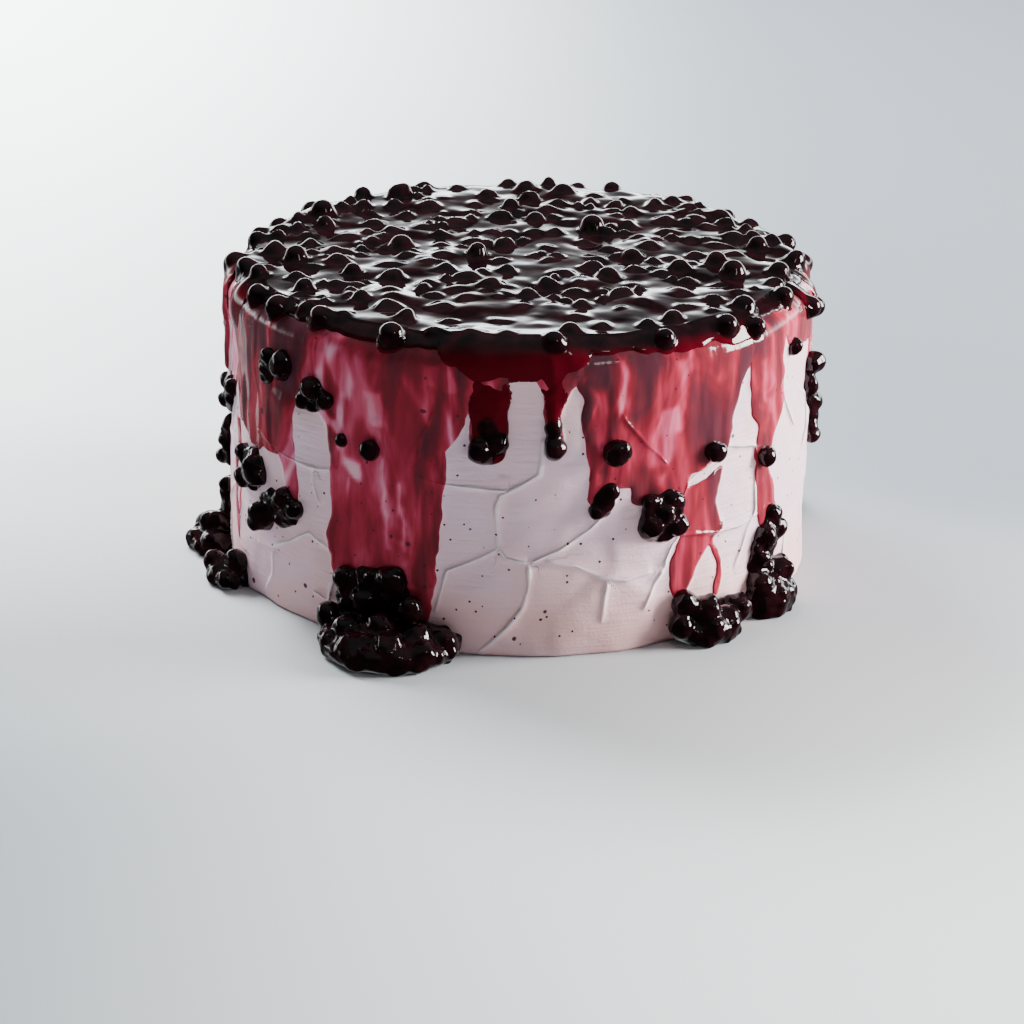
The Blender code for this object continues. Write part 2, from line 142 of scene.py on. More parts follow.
@dataclass
class KnifeWork:
    """The facets and thin lips that the palette knife left in the frosting."""

    radius: float = 102.5 * MM
    height: float = 105.0 * MM
    rows: int = 4
    columns: int = 21
    lift: float = 0.7 * MM
    slope: float = 0.035
    seed: int = 11
    lip_height: float = 0.75 * MM
    lip_width: float = 1.0 * MM
    step: float = 0.3 * MM
    stroke_reach: float = 9 * MM
    lip_reach: float = 3.2 * MM
    drawn_to: float = 71.0
    cells_from: float = 62.0
    paths: Sequence[Sequence[tuple[float, float]]] = (
        ((4.8, 77), (4.2, 69), (3.7, 64), (0.5, 60.5), (-3.1, 57), (-3.7, 53.7), (-3.4, 38.7), (-2.1, 35.3),
         (2.5, 33.7)),
        ((2.5, 33.7), (8, 38), (13.5, 44.5), (16.8, 50), (19, 55)),
        ((2.3, 33.5), (2, 24), (1.2, 17.7), (-1.4, 11), (-4.3, 5.3), (-7, 1.5)),
        ((5, 33.8), (10.8, 32), (15.6, 27.6), (20.5, 26), (26, 27)),
        ((17, 26.3), (16.5, 19), (15.8, 11)),
        ((-3.6, 38), (-8.5, 33), (-13, 29), (-14, 22.5), (-15, 14)),
        ((-20, 62.5), (-15, 60), (-12.3, 59.3), (-6.8, 58.6), (-1.5, 59)),
        ((-60, 62), (-54.5, 59.7), (-48, 57), (-42.8, 56), (-37, 57)),
        ((-41.5, 56), (-41.8, 50), (-40, 43.8)),
        ((-60, 20), (-54, 21.6), (-48.6, 26.5), (-42.8, 32.5), (-36.6, 28.5), (-36.4, 22)),
        ((-54.5, 20), (-54.3, 11), (-57.5, 3)),
        ((28.5, 27), (28.7, 30.4), (30, 35.3), (31.8, 38.3), (36.5, 37), (46.3, 35), (53, 37)),
        ((43.3, 65.6), (47.6, 63.4), (51.5, 61.6), (52, 49), (51.8, 38.5), (49.4, 31.3), (46, 20)),
        ((31.5, 48), (32, 51.3), (33.2, 56.5), (35.9, 59), (41.8, 62)),
        ((24, 14), (26.7, 23), (28.5, 27)),
        ((74.3, 44), (72.7, 30), (67.9, 25.5), (60, 30)),
        ((-42, 12.6), (-37.5, 10.8), (-35.9, 22.4)),
        ((61, 86), (63, 72), (68, 61), (76, 58)),
        ((67, 26), (64, 14), (67, 2)),
        ((-15.5, 84), (-18, 74), (-18.5, 63)),
        ((19, 84), (24, 72), (29, 64)),
    )
    strokes: np.ndarray = field(init=False)
    centres: np.ndarray = field(init=False)

    def __post_init__(self) -> None:
        """Draws the strokes and the centres of the lips."""
        draw = np.random.RandomState(self.seed)
        pitch = 2 * math.pi / self.columns
        rise = self.height / self.rows
        strokes = []
        for row in range(self.rows):
            for column in range(self.columns):
                angle = (column + 0.5 * (row % 2) + draw.uniform(-0.34, 0.34)) * pitch
                height = (row + 0.5 + draw.uniform(-0.36, 0.36)) * rise
                slopes = draw.uniform(-self.slope, self.slope, 2)
                strokes.append((angle, height, *slopes, draw.uniform(-1, 1) * self.lift))
        self.strokes = np.array(strokes)
        turned = np.degrees(self.strokes[:, 0]) % 360
        self.centres = self.strokes[(turned > self.cells_from) & (turned < 360 - self.cells_from), :2]

    def relief(self, angle: np.ndarray, height: np.ndarray) -> np.ndarray:
        """How far each facet stands out of a plain cone.

        Args:
            angle: Angles in radians.
            height: Heights in metres.

        Returns:
            Distances in metres.
        """
        across = (angle[:, None] - self.strokes[:, 0] + math.pi) % (2 * math.pi) - math.pi
        across = across * self.radius
        up = height[:, None] - self.strokes[:, 1]
        nearness = np.exp(-(across**2 + up**2) / self.stroke_reach**2)
        slant = self.strokes[:, 2] * across + self.strokes[:, 3] * up
        planes = self.strokes[:, 4] + np.clip(slant, -self.lift, self.lift)
        return (nearness * planes).sum(axis=1) / (nearness.sum(axis=1) + 1e-6)

    def path_gaps(self, across: np.ndarray, up: np.ndarray) -> tuple[np.ndarray, np.ndarray]:
        """Distances to the lips that the photograph shows, each along its own path.

        Args:
            across: Distances round the side from the front, in metres.
            up: Heights in metres.

        Returns:
            Distances in metres, below 0 on one side of a lip, and how strong the nearest lip is.
        """
        best = np.full(len(across), 1.0)
        side = np.ones(len(across))
        strength = np.zeros(len(across))
        for path in self.paths:
            spots = np.array([(math.radians(angle) * self.radius, height * MM) for angle, height in path])
            steps = np.hypot(*(spots[1:] - spots[:-1]).T)
            for number, (start, end) in enumerate(zip(spots, spots[1:])):
                along = end - start
                from_start = np.stack([across - start[0], up - start[1]], axis=1)
                share = np.clip(from_start @ along / steps[number] ** 2, 0, 1)
                gap = from_start - share[:, None] * along
                far = np.hypot(gap[:, 0], gap[:, 1])
                nearer = far < best
                passed = steps[:number].sum() + share * steps[number]
                taper = ramp(passed, 0, 1.5 * MM) * ramp(steps.sum() - passed, 0, 1.5 * MM)
                side = np.where(nearer, np.sign(along[0] * gap[:, 1] - along[1] * gap[:, 0] + 1e-12), side)
                strength = np.where(nearer, taper, strength)
                best = np.where(nearer, far, best)
        return best * side, strength

    def cell_gaps(self, across: np.ndarray, up: np.ndarray) -> tuple[np.ndarray, np.ndarray]:
        """Distances to the lips round cells, for the side that the photograph doesn't show.

        Args:
            across: Distances round the side from the front, in metres.
            up: Heights in metres.

        Returns:
            Distances in metres, below 0 on one side of a lip, and how strong the nearest lip is.
        """
        girth = 2 * math.pi * self.radius
        aside = (across[:, None] - self.centres[:, 0] * self.radius + girth / 2) % girth - girth / 2
        apart = aside**2 + (up[:, None] - self.centres[:, 1]) ** 2
        order = np.argpartition(apart, 1, axis=1)[:, :2]
        rows = np.arange(len(across))
        swap = apart[rows, order[:, 0]] > apart[rows, order[:, 1]]
        order[swap] = order[swap][:, ::-1]
        first, second = order[:, 0], order[:, 1]
        turn = self.centres[first, 0] - self.centres[second, 0]
        turn = (turn + math.pi) % (2 * math.pi) - math.pi
        gap = np.hypot(turn * self.radius, self.centres[first, 1] - self.centres[second, 1])
        edge = (apart[rows, second] - apart[rows, first]) / (2 * gap)
        kept = ((first * 7 + second * 7 + first * second) % 10) < 8
        return np.where(first < second, edge, -edge), kept.astype(float)

    def gaps(self, angle: np.ndarray, height: np.ndarray) -> tuple[np.ndarray, np.ndarray]:
        """Distances to the thin lips where two strokes meet.

        Args:
            angle: Angles in radians.
            height: Heights in metres.

        Returns:
            Distances in metres, below 0 on one side of a lip, and how strong the nearest lip is.
        """
        around = np.stack([np.sin(angle), np.cos(angle), height / self.radius], axis=1) * self.radius
        fine = wave(around, 9 * MM, 5.0) * 0.45 * MM
        drawn, drawn_strength = self.path_gaps(angle * self.radius + fine, height + fine)
        bend = wave(around, 26 * MM, 3.0) * 4.0 * MM
        rise = wave(around, 24 * MM, 9.0) * 4.5 * MM
        cells, cell_strength = self.cell_gaps(angle * self.radius + bend + fine, height + rise)
        turned = np.abs(np.degrees(angle))
        hidden = turned > self.drawn_to
        gap = np.where(hidden, cells, drawn)
        strength = np.where(hidden, cell_strength, drawn_strength)
        strength = strength * ramp(np.abs(turned - self.drawn_to), 0, 4)
        strength = strength * (0.5 + 0.5 * ramp(wave(around, 15 * MM, 21.0), -0.6, 0.3))
        return gap, strength * np.exp(-((gap / self.lip_reach) ** 2))

    def lips(self, gap: np.ndarray, strength: np.ndarray) -> np.ndarray:
        """Swelling under the lips, with the small step from one stroke to the next.

        Args:
            gap: Distances to the nearest lip, in metres.
            strength: How strong it is.

        Returns:
            Distances in metres.
        """
        lip = self.lip_height * np.exp(-((gap / self.lip_width) ** 2))
        return (lip + self.step * np.tanh(gap / (0.8 * MM))) * strength


@dataclass
class CakeForm:
    """Sizes of the frosted cake, and the places on its skin."""

    base_radius: float = 102.5 * MM
    top_radius: float = 101.5 * MM
    height: float = 105.0 * MM
    rim: float = 8.0 * MM
    foot: float = 1.5 * MM
    smooth_under_rim: float = 14.0 * MM
    knife: KnifeWork = field(default_factory=KnifeWork)

    @property
    def flat_radius(self) -> float:
        """Radius at which the flat top ends."""
        return self.top_radius - self.rim

    @property
    def side_top(self) -> float:
        """Height at which the side ends."""
        return self.height - self.rim

    @property
    def rim_arc(self) -> float:
        """Length of the rim's rounding."""
        return self.rim * math.pi / 2

    def cone(self, height: np.ndarray) -> np.ndarray:
        """Radius of the plain side at these heights."""
        share = np.clip(height / self.side_top, 0.0, 1.0)
        return self.base_radius + (self.top_radius - self.base_radius) * share

    def side_radius(self, angle: np.ndarray, height: np.ndarray) -> np.ndarray:
        """Radius of the side with its facets.

        Args:
            angle: Angles in radians.
            height: Heights in metres.

        Returns:
            Radii in metres.
        """
        fade = np.clip((self.side_top - height) / self.smooth_under_rim, 0.0, 1.0)
        return self.cone(height) + self.knife.relief(angle, height) * fade

    def skin(self, x: np.ndarray, y: np.ndarray) -> tuple[np.ndarray, np.ndarray]:
        """The cake's skin at places of its unrolled plane.

        Args:
            x: First coordinates, in metres.
            y: Second coordinates, in metres.

        Returns:
            Points on the skin, and the directions away from it.
        """
        arc = np.hypot(x, y)
        angle = np.arctan2(x, -y)
        turn = np.clip((arc - self.flat_radius) / self.rim, 0.0, math.pi / 2)
        below = np.maximum(arc - self.flat_radius - self.rim_arc, 0.0)
        height = self.side_top - below
        radius = np.minimum(arc, self.flat_radius) + self.rim * np.sin(turn)
        on_side = below > 0
        radius = np.where(on_side, self.side_radius(angle, height), radius)
        level = np.where(on_side, height, self.side_top + self.rim * np.cos(turn))
        points = np.stack([radius * np.sin(angle), -radius * np.cos(angle), level], axis=1)
        away = np.stack([np.sin(turn) * np.sin(angle), -np.sin(turn) * np.cos(angle), np.cos(turn)], axis=1)
        return points, away

    def side_place(self, angle: float, height: float, out: float) -> Matrix:
        """Frame of a place on the side: X runs round the cake, -Y points away from it and Z is up.

        Args:
            angle: Degrees from the front.
            height: Height in mm.
            out: Distance off the frosting in mm.

        Returns:
            The frame as a matrix.
        """
        turned = math.radians(angle)
        radius = float(self.side_radius(np.array([turned]), np.array([height * MM]))[0]) + out * MM
        place = Matrix.Translation((radius * math.sin(turned), -radius * math.cos(turned), height * MM))
        return place @ Matrix.Rotation(turned, 4, "Z")


def to_object(shape: bmesh.types.BMesh, name: str) -> bpy.types.Object:
    """Makes a smooth-shaded object at the origin from a bmesh, and frees the bmesh.

    Args:
        shape: The mesh under construction.
        name: Name of the piece.

    Returns:
        The new object, linked to the scene.
    """
    mesh = bpy.data.meshes.new(name)
    shape.to_mesh(mesh)
    shape.free()
    mesh.shade_smooth()
    made = bpy.data.objects.new(name, mesh)
    bpy.context.scene.collection.objects.link(made)
    return made


def read_points(mesh: bpy.types.Mesh) -> np.ndarray:
    """Reads where a mesh's points are.

    Args:
        mesh: The mesh.

    Returns:
        Coordinates, one point a row.
    """
    flat = np.empty(len(mesh.vertices) * 3)
    mesh.vertices.foreach_get("co", flat)
    return flat.reshape(-1, 3)


def write_points(mesh: bpy.types.Mesh, points: np.ndarray) -> None:
    """Moves a mesh's points."""
    mesh.vertices.foreach_set("co", np.ascontiguousarray(points, dtype=np.float32).ravel())
    mesh.update()


def mend(mesh: bpy.types.Mesh, merge: float = 0.0) -> None:
    """Merges doubled points and turns every face outwards.

    Args:
        mesh: The mesh.
        merge: Points nearer than this become one, in metres; 0 merges none.
    """
    shape = bmesh.new()
    shape.from_mesh(mesh)
    if merge:
        bmesh.ops.remove_doubles(shape, verts=shape.verts, dist=merge)
    bmesh.ops.recalc_face_normals(shape, faces=shape.faces)
    shape.to_mesh(mesh)
    shape.free()
    mesh.shade_smooth()


def write_values(mesh: bpy.types.Mesh, name: str, values: np.ndarray) -> None:
    """Stores one number for each point of a mesh, for its material to read."""
    made = mesh.attributes.new(name, "FLOAT", "POINT")
    made.data.foreach_set("value", np.ascontiguousarray(values, dtype=np.float32))


class NodeSheet:
    """A node tree under construction, with short ways to add its nodes."""

    def __init__(self, tree: bpy.types.NodeTree) -> None:
        """Takes the tree to work on."""
        self.tree = tree

    def node(self, kind: str, **values: object) -> bpy.types.Node:
        """Adds a node.

        Args:
            kind: Type of the node.
            values: Its properties.

        Returns:
            The node.
        """
        made = self.tree.nodes.new(kind)
        for key, value in values.items():
            setattr(made, key, value)
        return made

    def feed(self, socket: bpy.types.NodeSocket, source: object) -> None:
        """Links a socket to another one, or sets its value.

        Args:
            socket: The input.
            source: A socket or a value.
        """
        if isinstance(source, bpy.types.NodeSocket):
            self.tree.links.new(source, socket)
        else:
            socket.default_value = source

    def feed_all(self, node: bpy.types.Node, **sources: object) -> None:
        """Feeds several inputs of a node.

        Args:
            node: The node.
            sources: What each input gets; an underscore stands for a space in its name.
        """
        for key, source in sources.items():
            self.feed(node.inputs[key.replace("_", " ")], source)

    def math(self, operation: str, *sources: object) -> bpy.types.NodeSocket:
        """Adds a Math node.

        Args:
            operation: What it works out.
            sources: What its inputs get, in order.

        Returns:
            Its result.
        """
        made = self.node("ShaderNodeMath", operation=operation)
        for socket, source in zip(made.inputs, sources):
            self.feed(socket, source)
        return made.outputs[0]

    def product(self, *sources: object) -> bpy.types.NodeSocket:
        """Multiplies sockets and numbers, from the first to the last."""
        return reduce(lambda first, second: self.math("MULTIPLY", first, second), sources)

    def remap(
        self, value: object, low: float, high: float, new_low: float, new_high: float
    ) -> bpy.types.NodeSocket:
        """Maps a range of values smoothly to another range.

        Args:
            value: What is mapped.
            low: Start of its range.
            high: End of its range.
            new_low: What low becomes.
            new_high: What high becomes.

        Returns:
            The mapped value.
        """
        made = self.node("ShaderNodeMapRange", interpolation_type="SMOOTHSTEP")
        self.feed_all(made, Value=value, From_Min=low, From_Max=high, To_Min=new_low, To_Max=new_high)
        return made.outputs["Result"]

    def axes(self, place: bpy.types.NodeSocket) -> Sequence[bpy.types.NodeSocket]:
        """Splits coordinates.

        Args:
            place: The coordinates.

        Returns:
            X, Y and Z.
        """
        split = self.node("ShaderNodeSeparateXYZ")
        self.feed(split.inputs[0], place)
        return tuple(split.outputs)


class ShaderSheet(NodeSheet):
    """A material under construction."""

    def __init__(self, name: str) -> None:
        """Starts a material with a Principled BSDF.

        Args:
            name: Name of the material.
        """
        self.material = bpy.data.materials.new(name)
        self.material.use_nodes = True
        super().__init__(self.material.node_tree)
        self.shader = self.tree.nodes["Principled BSDF"]

    def finish(self, **sources: object) -> bpy.types.Material:
        """Feeds the Principled BSDF and returns the material."""
        self.feed_all(self.shader, **sources)
        return self.material

    def attribute(self, name: str) -> bpy.types.NodeSocket:
        """Reads a number stored on the piece."""
        return self.node("ShaderNodeAttribute", attribute_name=name).outputs["Fac"]

    def coordinates(self, stretch: tuple[float, float, float] = (1, 1, 1)) -> bpy.types.NodeSocket:
        """Object coordinates, stretched.

        Args:
            stretch: Factor along each axis.

        Returns:
            The stretched coordinates.
        """
        mapping = self.node("ShaderNodeMapping")
        self.feed_all(mapping, Vector=self.node("ShaderNodeTexCoord").outputs["Object"], Scale=stretch)
        return mapping.outputs["Vector"]

    def noise(
        self, scale: float, detail: float, stretch: tuple[float, float, float] = (1, 1, 1), swirl: float = 0.0
    ) -> bpy.types.NodeSocket:
        """Adds noise on Object coordinates.

        Args:
            scale: Waves per metre.
            detail: Octaves.
            stretch: Factor along each axis.
            swirl: How far the pattern is dragged about.

        Returns:
            Values of 0 to 1.
        """
        made = self.node("ShaderNodeTexNoise")
        self.feed_all(made, Vector=self.coordinates(stretch), Scale=scale, Detail=detail, Distortion=swirl)
        return made.outputs["Fac"]

    def blend(self, share: object, first: object, second: object) -> bpy.types.NodeSocket:
        """Mixes two colours.

        Args:
            share: 0 for the first, 1 for the second.
            first: A colour.
            second: A colour.

        Returns:
            The mixed colour.
        """
        made = self.node("ShaderNodeMix", data_type="RGBA")
        for number, source in ((0, share), (6, first), (7, second)):
            self.feed(made.inputs[number], source)
        return made.outputs[2]

    def weigh(self, share: object, first: object, second: object) -> bpy.types.NodeSocket:
        """Mixes two numbers.

        Args:
            share: 0 for the first, 1 for the second.
            first: A number.
            second: A number.

        Returns:
            The mixed number.
        """
        made = self.node("ShaderNodeMix", data_type="FLOAT")
        for number, source in ((0, share), (2, first), (3, second)):
            self.feed(made.inputs[number], source)
        return made.outputs[0]

    def bump(self, height: object, distance: float) -> bpy.types.NodeSocket:
        """Adds a Bump node.

        Args:
            height: Heights of 0 to 1.
            distance: How deep 1 is, in metres.

        Returns:
            The bent normal.
        """
        made = self.node("ShaderNodeBump")
        self.feed_all(made, Strength=1.0, Distance=distance, Height=height)
        return made.outputs["Normal"]


@dataclass(frozen=True)
class SauceStain:
    """How a layer of sauce tints what it lies on: how fast red, green and blue fade, and its own pulp, raised
    to paint in a sheen of gloss.
    """

    fading: tuple[float, float, float] = (1.1, 4.4, 3.4)
    pulp_and_painted_sheen: tuple[float, float, float] = (0.06, 0.02, 0.03)
    cover: float = 8.0

    def group(self) -> bpy.types.NodeTree:
        """Makes the node group that tints a colour.

        Returns:
            The group, with Colour and Depth in and Colour out.
        """
        tree = bpy.data.node_groups.new("berry_stain", "ShaderNodeTree")
        tree.interface.new_socket("Colour", in_out="INPUT", socket_type="NodeSocketColor")
        tree.interface.new_socket("Depth", in_out="INPUT", socket_type="NodeSocketFloat")
        tree.interface.new_socket("Colour", in_out="OUTPUT", socket_type="NodeSocketColor")
        sheet = NodeSheet(tree)
        entry = sheet.node("NodeGroupInput")
        depth = entry.outputs["Depth"]
        split = sheet.node("ShaderNodeSeparateColor")
        sheet.feed(split.inputs["Color"], entry.outputs["Colour"])
        join = sheet.node("ShaderNodeCombineColor")
        # Deep sauce tends to the pulp colour, which is partly the pulp's own and partly a painted sheen.
        covered = sheet.math("SUBTRACT", 1.0, sheet.math("POWER", math.exp(-self.cover), depth))
        for channel, (fading, own) in enumerate(zip(self.fading, self.pulp_and_painted_sheen)):
            left = sheet.product(split.outputs[channel], sheet.math("POWER", math.exp(-fading), depth))
            sheet.feed(join.inputs[channel], sheet.math("MULTIPLY_ADD", covered, own, left))
        sheet.feed(sheet.node("NodeGroupOutput").inputs["Colour"], join.outputs["Color"])
        return tree


@dataclass(frozen=True)
class FrostingFinish:
    """Berry cream frosting with specks of fruit, stained and wet where sauce ran over it."""

    cream: tuple[float, float, float, float] = (0.78, 0.56, 0.67, 1.0)
    warm_cream: tuple[float, float, float, float] = (0.80, 0.545, 0.60, 1.0)
    # Paler colour laid on the lips' crests: a painted highlight.
    lip: tuple[float, float, float, float] = (0.95, 0.84, 0.87, 1.0)
    speck: tuple[float, float, float, float] = (0.09, 0.02, 0.045, 1.0)
    smear: tuple[float, float, float, float] = (0.42, 0.32, 0.44, 1.0)
    # Tan patches, also painted in as warm bounce light towards the foot.
    tan_and_painted_bounce: tuple[float, float, float, float] = (0.82, 0.475, 0.455, 1.0)
    speck_cells: float = 470.0
    dry_roughness: float = 0.48
    wet_roughness: float = 0.1

    def material(self, stain: bpy.types.NodeTree) -> bpy.types.Material:
        """Makes the frosting's material.

        Args:
            stain: The group that tints a colour under sauce.

        Returns:
            The material, which reads the numbers sauce, wet, film, gap and lip of each point.
        """
        sheet = ShaderSheet("berry_cream_frosting")
        crest_and_painted_highlight = self.lip_line(sheet)
        film = sheet.attribute("film")
        covered = sheet.remap(film, -0.15, 0.25, 0.0, 1.0)
        depth = sheet.product(sheet.attribute("sauce"), covered, self.streaks(sheet))
        stained = sheet.node("ShaderNodeGroup", node_tree=stain)
        sheet.feed_all(stained, Colour=self.colour(sheet, crest_and_painted_highlight), Depth=depth)
        wet = sheet.product(sheet.remap(sheet.attribute("wet"), 0.2, 0.8, 0.0, 1.0), covered)
        bead = sheet.product(sheet.remap(film, -0.1, 0.8, 0.0, 1.0), 0.4)
        raised = sheet.math("ADD", self.grain(sheet, wet), sheet.product(crest_and_painted_highlight, 0.9))
        return sheet.finish(
            Base_Color=stained.outputs["Colour"],
            Roughness=sheet.remap(wet, 0.0, 1.0, self.dry_roughness, self.wet_roughness),
            IOR=1.34,
            Normal=sheet.bump(sheet.math("ADD", raised, bead), MM),
        )

    def colour(self, sheet: ShaderSheet, crest_and_painted_highlight: bpy.types.NodeSocket) -> bpy.types.NodeSocket:
        """Colour of the dry frosting, with warm bounce light painted in towards the foot and a painted
        highlight along the lips' crests.

        Args:
            sheet: The material under construction.
            crest_and_painted_highlight: 1 on the crest of a lip, where a highlight is painted, 0 away from
                it.

        Returns:
            The colour.
        """
        patches = sheet.remap(sheet.noise(38.0, 2.0), 0.35, 0.65, 0.0, 1.0)
        smear = sheet.remap(sheet.noise(60.0, 4.0, (1, 1, 2.5)), 0.66, 0.8, 0.0, 0.55)
        # Painted bounce light: the tan grows from 0.1 high up to 0.85 at the foot, as warm light thrown up
        # from below.
        low = sheet.remap(sheet.axes(sheet.coordinates())[2], 45 * MM, 5 * MM, 0.1, 0.85)
        tan_and_painted_bounce = sheet.product(sheet.remap(sheet.noise(27.0, 2.0, (1, 1, 1.6)), 0.36, 0.6, 0.3, 1.0), low)
        large_specks = self.specks(sheet, self.speck_cells * 0.42, 0.87)
        speck = sheet.math("MAXIMUM", self.specks(sheet, self.speck_cells, 0.8), large_specks)
        colour = sheet.blend(patches, self.cream, self.warm_cream)
        # The lip colour paints a highlight along each crest.
        for share, over in ((smear, self.smear), (tan_and_painted_bounce, self.tan_and_painted_bounce), (crest_and_painted_highlight, self.lip), (speck, self.speck)):
            colour = sheet.blend(share, colour, over)
        return colour

    def streaks(self, sheet: ShaderSheet) -> bpy.types.NodeSocket:
        """How unevenly the sauce lies, in streaks that run down.

        Args:
            sheet: The material under construction.

        Returns:
            A factor on the sauce's depth.
        """
        drifts = sheet.remap(sheet.noise(62.0, 3.0, (1, 1, 0.3), 1.1), 0.36, 0.66, 0.4, 1.4)
        wisps = sheet.remap(sheet.noise(210.0, 3.0, (1, 1, 0.22), 0.6), 0.3, 0.7, 0.8, 1.2)
        veil = sheet.remap(sheet.noise(44.0, 2.0, (1, 1, 0.55), 1.4), 0.57, 0.72, 1.0, 0.14)
        threads = sheet.remap(sheet.noise(620.0, 2.0, (1, 1, 0.1)), 0.3, 0.7, 0.95, 1.05)
        return sheet.product(drifts, wisps, veil, threads)

    def grain(self, sheet: ShaderSheet, wet: bpy.types.NodeSocket) -> bpy.types.NodeSocket:
        """Fine relief: the knife's drag and pores where the frosting is dry, slow waves where it is wet.

        Args:
            sheet: The material under construction.
            wet: 1 under sauce, 0 away from it.

        Returns:
            Heights.
        """
        drag = sheet.product(sheet.noise(260.0, 3.0, (0.25, 0.25, 3.0)), 0.34)
        pores = sheet.product(sheet.noise(900.0, 2.0), 0.11)
        flowing = sheet.product(sheet.noise(150.0, 2.0, (1, 1, 0.2)), 0.6)
        return sheet.weigh(wet, sheet.math("ADD", drag, pores), flowing)

    def lip_line(self, sheet: ShaderSheet) -> bpy.types.NodeSocket:
        """The sharp crest of the lips, for their bump and their painted highlight.

        Args:
            sheet: The material under construction.

        Returns:
            1 on a crest, 0 away from it.
        """
        width = sheet.remap(sheet.noise(140.0, 2.0), 0.3, 0.7, 0.4, 0.8)
        gap = sheet.math("DIVIDE", sheet.attribute("gap"), width)
        fall = sheet.math("EXPONENT", sheet.product(gap, gap, -1.0))
        uneven = sheet.remap(sheet.noise(90.0, 2.0), 0.3, 0.6, 0.5, 1.0)
        return sheet.product(fall, sheet.attribute("lip"), uneven)

    def specks(self, sheet: ShaderSheet, cells: float, rarity: float) -> bpy.types.NodeSocket:
        """Bits of fruit skin of one size range.

        Args:
            sheet: The material under construction.
            cells: Cells per metre, each with one bit or none.
            rarity: Share of the cells that stay empty.

        Returns:
            1 inside a bit, 0 outside.
        """
        ragged = sheet.node("ShaderNodeTexNoise")
        sheet.feed_all(ragged, Vector=sheet.coordinates(), Scale=1100.0)
        shift = sheet.node("ShaderNodeVectorMath", operation="SCALE")
        sheet.feed_all(shift, Vector=ragged.outputs["Color"], Scale=0.5 * MM)
        moved = sheet.node("ShaderNodeVectorMath", operation="ADD")
        sheet.feed(moved.inputs[0], sheet.coordinates())
        sheet.feed(moved.inputs[1], shift.outputs[0])
        cell = sheet.node("ShaderNodeTexVoronoi")
        sheet.feed_all(cell, Vector=moved.outputs[0], Scale=cells)
        pick = sheet.node("ShaderNodeSeparateColor")
        sheet.feed(pick.inputs["Color"], cell.outputs["Color"])
        size = sheet.remap(pick.outputs[0], rarity, 1.0, 0.0, 0.26)
        return sheet.remap(sheet.math("SUBTRACT", size, cell.outputs["Distance"]), 0.0, 0.05, 0.0, 1.0)


@dataclass(frozen=True)
class JamFinish:
    """Wet blueberry jam: nearly black where it is thick, wine red where it thins out."""

    name: str
    wrinkles: float
    bump: float
    deep: tuple[float, float, float, float] = (0.0045, 0.0012, 0.0018, 1.0)
    berry: tuple[float, float, float, float] = (0.014, 0.003, 0.0045, 1.0)
    thin: tuple[float, float, float, float] = (0.072, 0.0018, 0.0062, 1.0)
    roughness: float = 0.06

    def material(self) -> bpy.types.Material:
        """Makes the jam's material.

        Returns:
            The material, which reads the number named thin of each point.
        """
        sheet = ShaderSheet(self.name)
        patches = sheet.remap(sheet.noise(170.0, 2.0), 0.35, 0.7, 0.0, 1.0)
        thick = sheet.blend(patches, self.deep, self.berry)
        colour = sheet.blend(sheet.remap(sheet.attribute("thin"), 0.0, 1.0, 0.0, 1.0), thick, self.thin)
        fine = sheet.product(sheet.noise(self.wrinkles * 2.7, 1.0), 0.25)
        wrinkles = sheet.math("ADD", sheet.noise(self.wrinkles, 2.0), fine)
        bent = sheet.bump(wrinkles, self.bump)
        return sheet.finish(Base_Color=colour, Roughness=self.roughness, IOR=1.36, Normal=bent)


